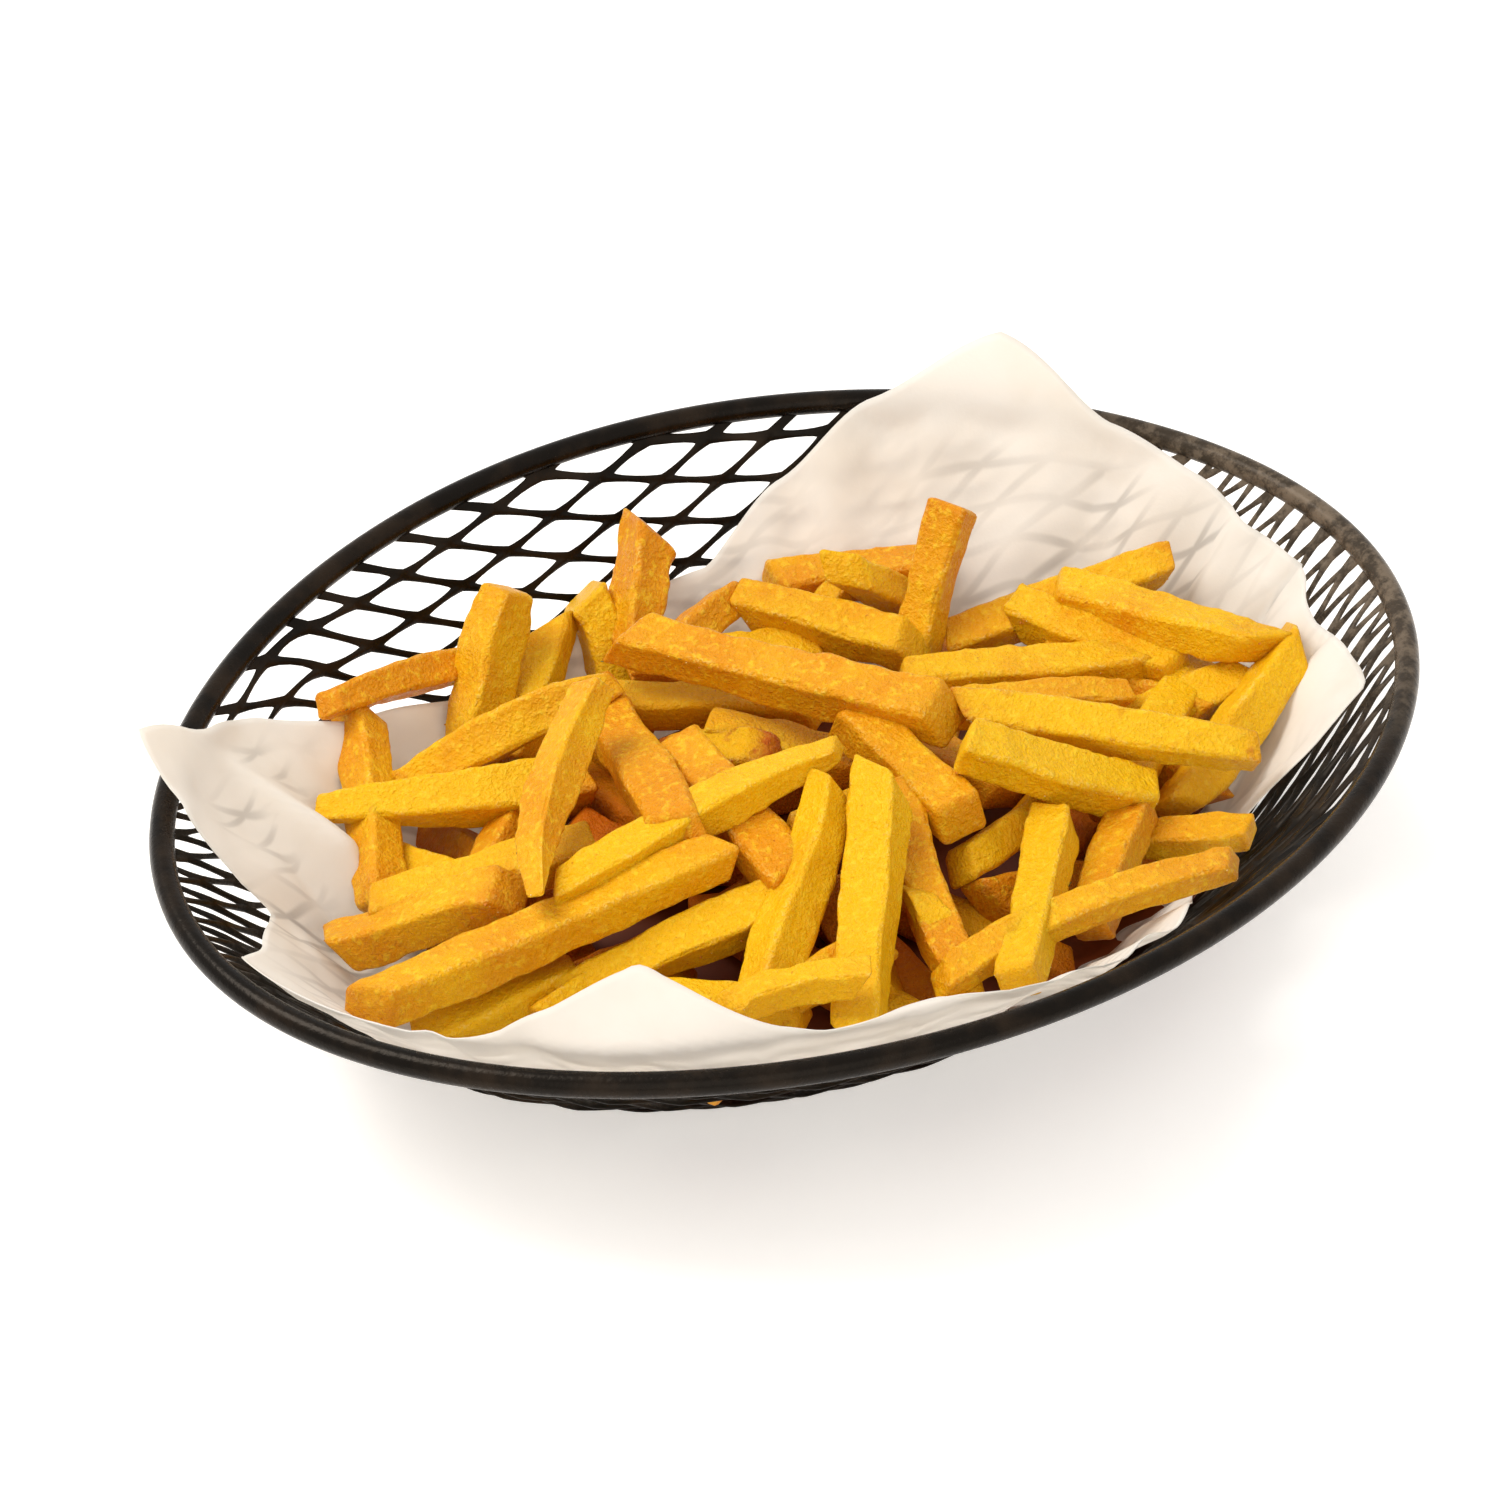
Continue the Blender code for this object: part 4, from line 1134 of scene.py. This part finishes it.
def scatter_flakes(name, piece, count, seed, longest):
    """Thin curled leaves: a grid of 5 by 3 points, pointed at both ends, curled along its length."""
    spots, normals = scatter_spots(piece, count, seed)
    spots[0], normals[0] = spot_at(piece, *LARGE_LEAF[:2])
    first, second = frames_for(normals, seed + 1)
    dice = np.random.default_rng(seed + 2)
    size = longest * (0.35 + 0.65 * dice.uniform(0, 1, count) ** 2.5)
    size[0] = LARGE_LEAF[2]
    wide = size * dice.uniform(0.16, 0.42, count)
    s, t = np.meshgrid(np.linspace(-1, 1, 5), np.linspace(-1, 1, 3), indexing="ij")
    s, t = s.ravel(), t.ravel()
    outline = (1 - 0.85 * np.abs(s) ** 1.6)
    along = s[None] * size[:, None] / 2
    sideways = t[None] * outline[None] * wide[:, None] / 2
    lift = 0.00016 + 0.12 * size[:, None] * (s[None] ** 2) * dice.uniform(0, 1, (count, 1))
    top = (spots[:, None] + first[:, None] * along[..., None] + second[:, None] * sideways[..., None]
           + normals[:, None] * lift[..., None])
    low = top - normals[:, None] * 0.00012
    points = np.concatenate([top, low], axis=1)
    upper = grid_quads(5, 3, closed=False)
    rim_loop = np.array([0, 1, 2, 5, 8, 11, 14, 13, 12, 9, 6, 3])
    wall = np.stack([rim_loop, np.roll(rim_loop, -1), np.roll(rim_loop, -1) + 15, rim_loop + 15], axis=-1)
    one = np.concatenate([upper[:, ::-1], upper + 15, wall])
    faces = (one[None] + (np.arange(count) * 30)[:, None, None]).reshape(-1, 4)
    return new_piece(name, points.reshape(-1, 3), [faces])


def scatter_grains(name, spots, normals, seed, least, most):
    """Angular grains: an eight-sided double pyramid, uneven in all three directions."""
    count = len(spots)
    first, second = frames_for(normals, seed + 1)
    dice = np.random.default_rng(seed + 2)
    size = dice.uniform(least, most, count)[:, None, None] * dice.uniform(0.6, 1.2, (count, 6, 1)) / 2
    corners = np.array([[1, 0, 0], [0, 1, 0], [-1, 0, 0], [0, -1, 0], [0, 0, 1], [0, 0, -1]])
    local = corners[None] * size
    points = (spots[:, None] + first[:, None] * local[..., :1] + second[:, None] * local[..., 1:2]
              + normals[:, None] * (local[..., 2:] + least * 0.25))
    one = np.array([[0, 1, 4], [1, 2, 4], [2, 3, 4], [3, 0, 4], [1, 0, 5], [2, 1, 5], [3, 2, 5], [0, 3, 5]])
    faces = (one[None] + (np.arange(count) * 6)[:, None, None]).reshape(-1, 3)
    return new_piece(name, points.reshape(-1, 3), [faces], smooth=False)


flecks = scatter_flakes("herb_flecks", top_fries, 110, 31, 0.0030)
herb, tree, shader = new_material("dried_herb", Roughness=0.7)
green = mix_colour(tree, noise_socket(tree, 400.0), linear(58, 66, 20), linear(116, 112, 40))
tree.links.new(green, shader.inputs["Base Color"])
flecks.data.materials.append(herb)

salt_spots = scatter_spots(top_fries, 420, 41, 0.1)
salt = scatter_grains("salt_grains", *salt_spots, 42, 0.00022, 0.00050)
white_salt, tree, shader = new_material("salt_and_starch", Base_Color=linear(250, 226, 160), Roughness=0.25)
salt.data.materials.append(white_salt)

crumb_spots = scatter_spots(top_fries, 260, 51, 0.1)
crumbs = scatter_grains("crust_crumbs", *crumb_spots, 52, 0.0004, 0.0011)
crumb, tree, shader = new_material("crust_crumb", Base_Color=linear(206, 124, 20), Roughness=0.5)
crumbs.data.materials.append(crumb)
for piece in (flecks, salt, crumbs):
    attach(piece, "root")
print("herbs", len(flecks.data.polygons), "salt", len(salt.data.polygons))
print("crumbs", len(crumbs.data.polygons))

# %% [markdown]
# ## Floor, light and camera
# The basket stands on a plain pale table under soft light from the back left, so that shadows
# fall softly towards the front and right. The camera looks down from the front left through a
# long lens, which keeps the oval's shape.

# %% Floor
bpy.ops.mesh.primitive_plane_add(size=6.0, location=(0, 0, 0))
floor = bpy.context.object
floor.name = "table_top"
table, tree, shader = new_material("pale_table", Base_Color=linear(250, 247, 243), Roughness=0.6,
                                   Emission_Color=(1.0, 0.97, 0.94, 1.0), Emission_Strength=0.34)
floor.data.materials.append(table)

# %% Light


def soft_box(name, place, target, size, power, colour):
    """A square area light that faces a target."""
    lamp = bpy.data.lights.new(name, "AREA")
    lamp.size = size
    lamp.energy = power
    lamp.color = colour
    holder = bpy.data.objects.new(name, lamp)
    holder.location = place
    holder.rotation_euler = (Vector(target) - Vector(place)).to_track_quat("-Z", "Y").to_euler()
    bpy.context.scene.collection.objects.link(holder)
    return holder


soft_box("key_back_left", (-0.55, 0.45, 1.15), (0, 0, 0.03), 0.7, 12.0, (1.0, 0.98, 0.95))
soft_box("fill_front", (-0.5, -1.1, 0.8), (0, 0, 0.03), 1.2, 4.0, (1.0, 0.98, 0.95))
world = bpy.data.worlds.new("studio")
bpy.context.scene.world = world
world.use_nodes = True
world.node_tree.nodes["Background"].inputs["Color"].default_value = (1.0, 1.0, 1.0, 1.0)
world.node_tree.nodes["Background"].inputs["Strength"].default_value = 0.82
bpy.context.scene.view_settings.view_transform = "Standard"

# %% Camera
AZIMUTH, ELEVATION = math.radians(-28.8), math.radians(40.0)
DISTANCE = 0.850
camera_data = bpy.data.cameras.new("camera")
camera_data.sensor_width = 36.0
camera_data.lens = 107.95
camera_data.clip_start = 0.01
camera = bpy.data.objects.new("camera", camera_data)
bpy.context.scene.collection.objects.link(camera)
ahead = Vector((-math.sin(AZIMUTH) * math.cos(ELEVATION), math.cos(AZIMUTH) * math.cos(ELEVATION),
                -math.sin(ELEVATION)))
aim = Vector((-0.0132, -0.0046, RIM_HEIGHT))
camera.location = aim - DISTANCE * ahead
camera.rotation_euler = ahead.to_track_quat("-Z", "Y").to_euler()
bpy.context.scene.camera = camera
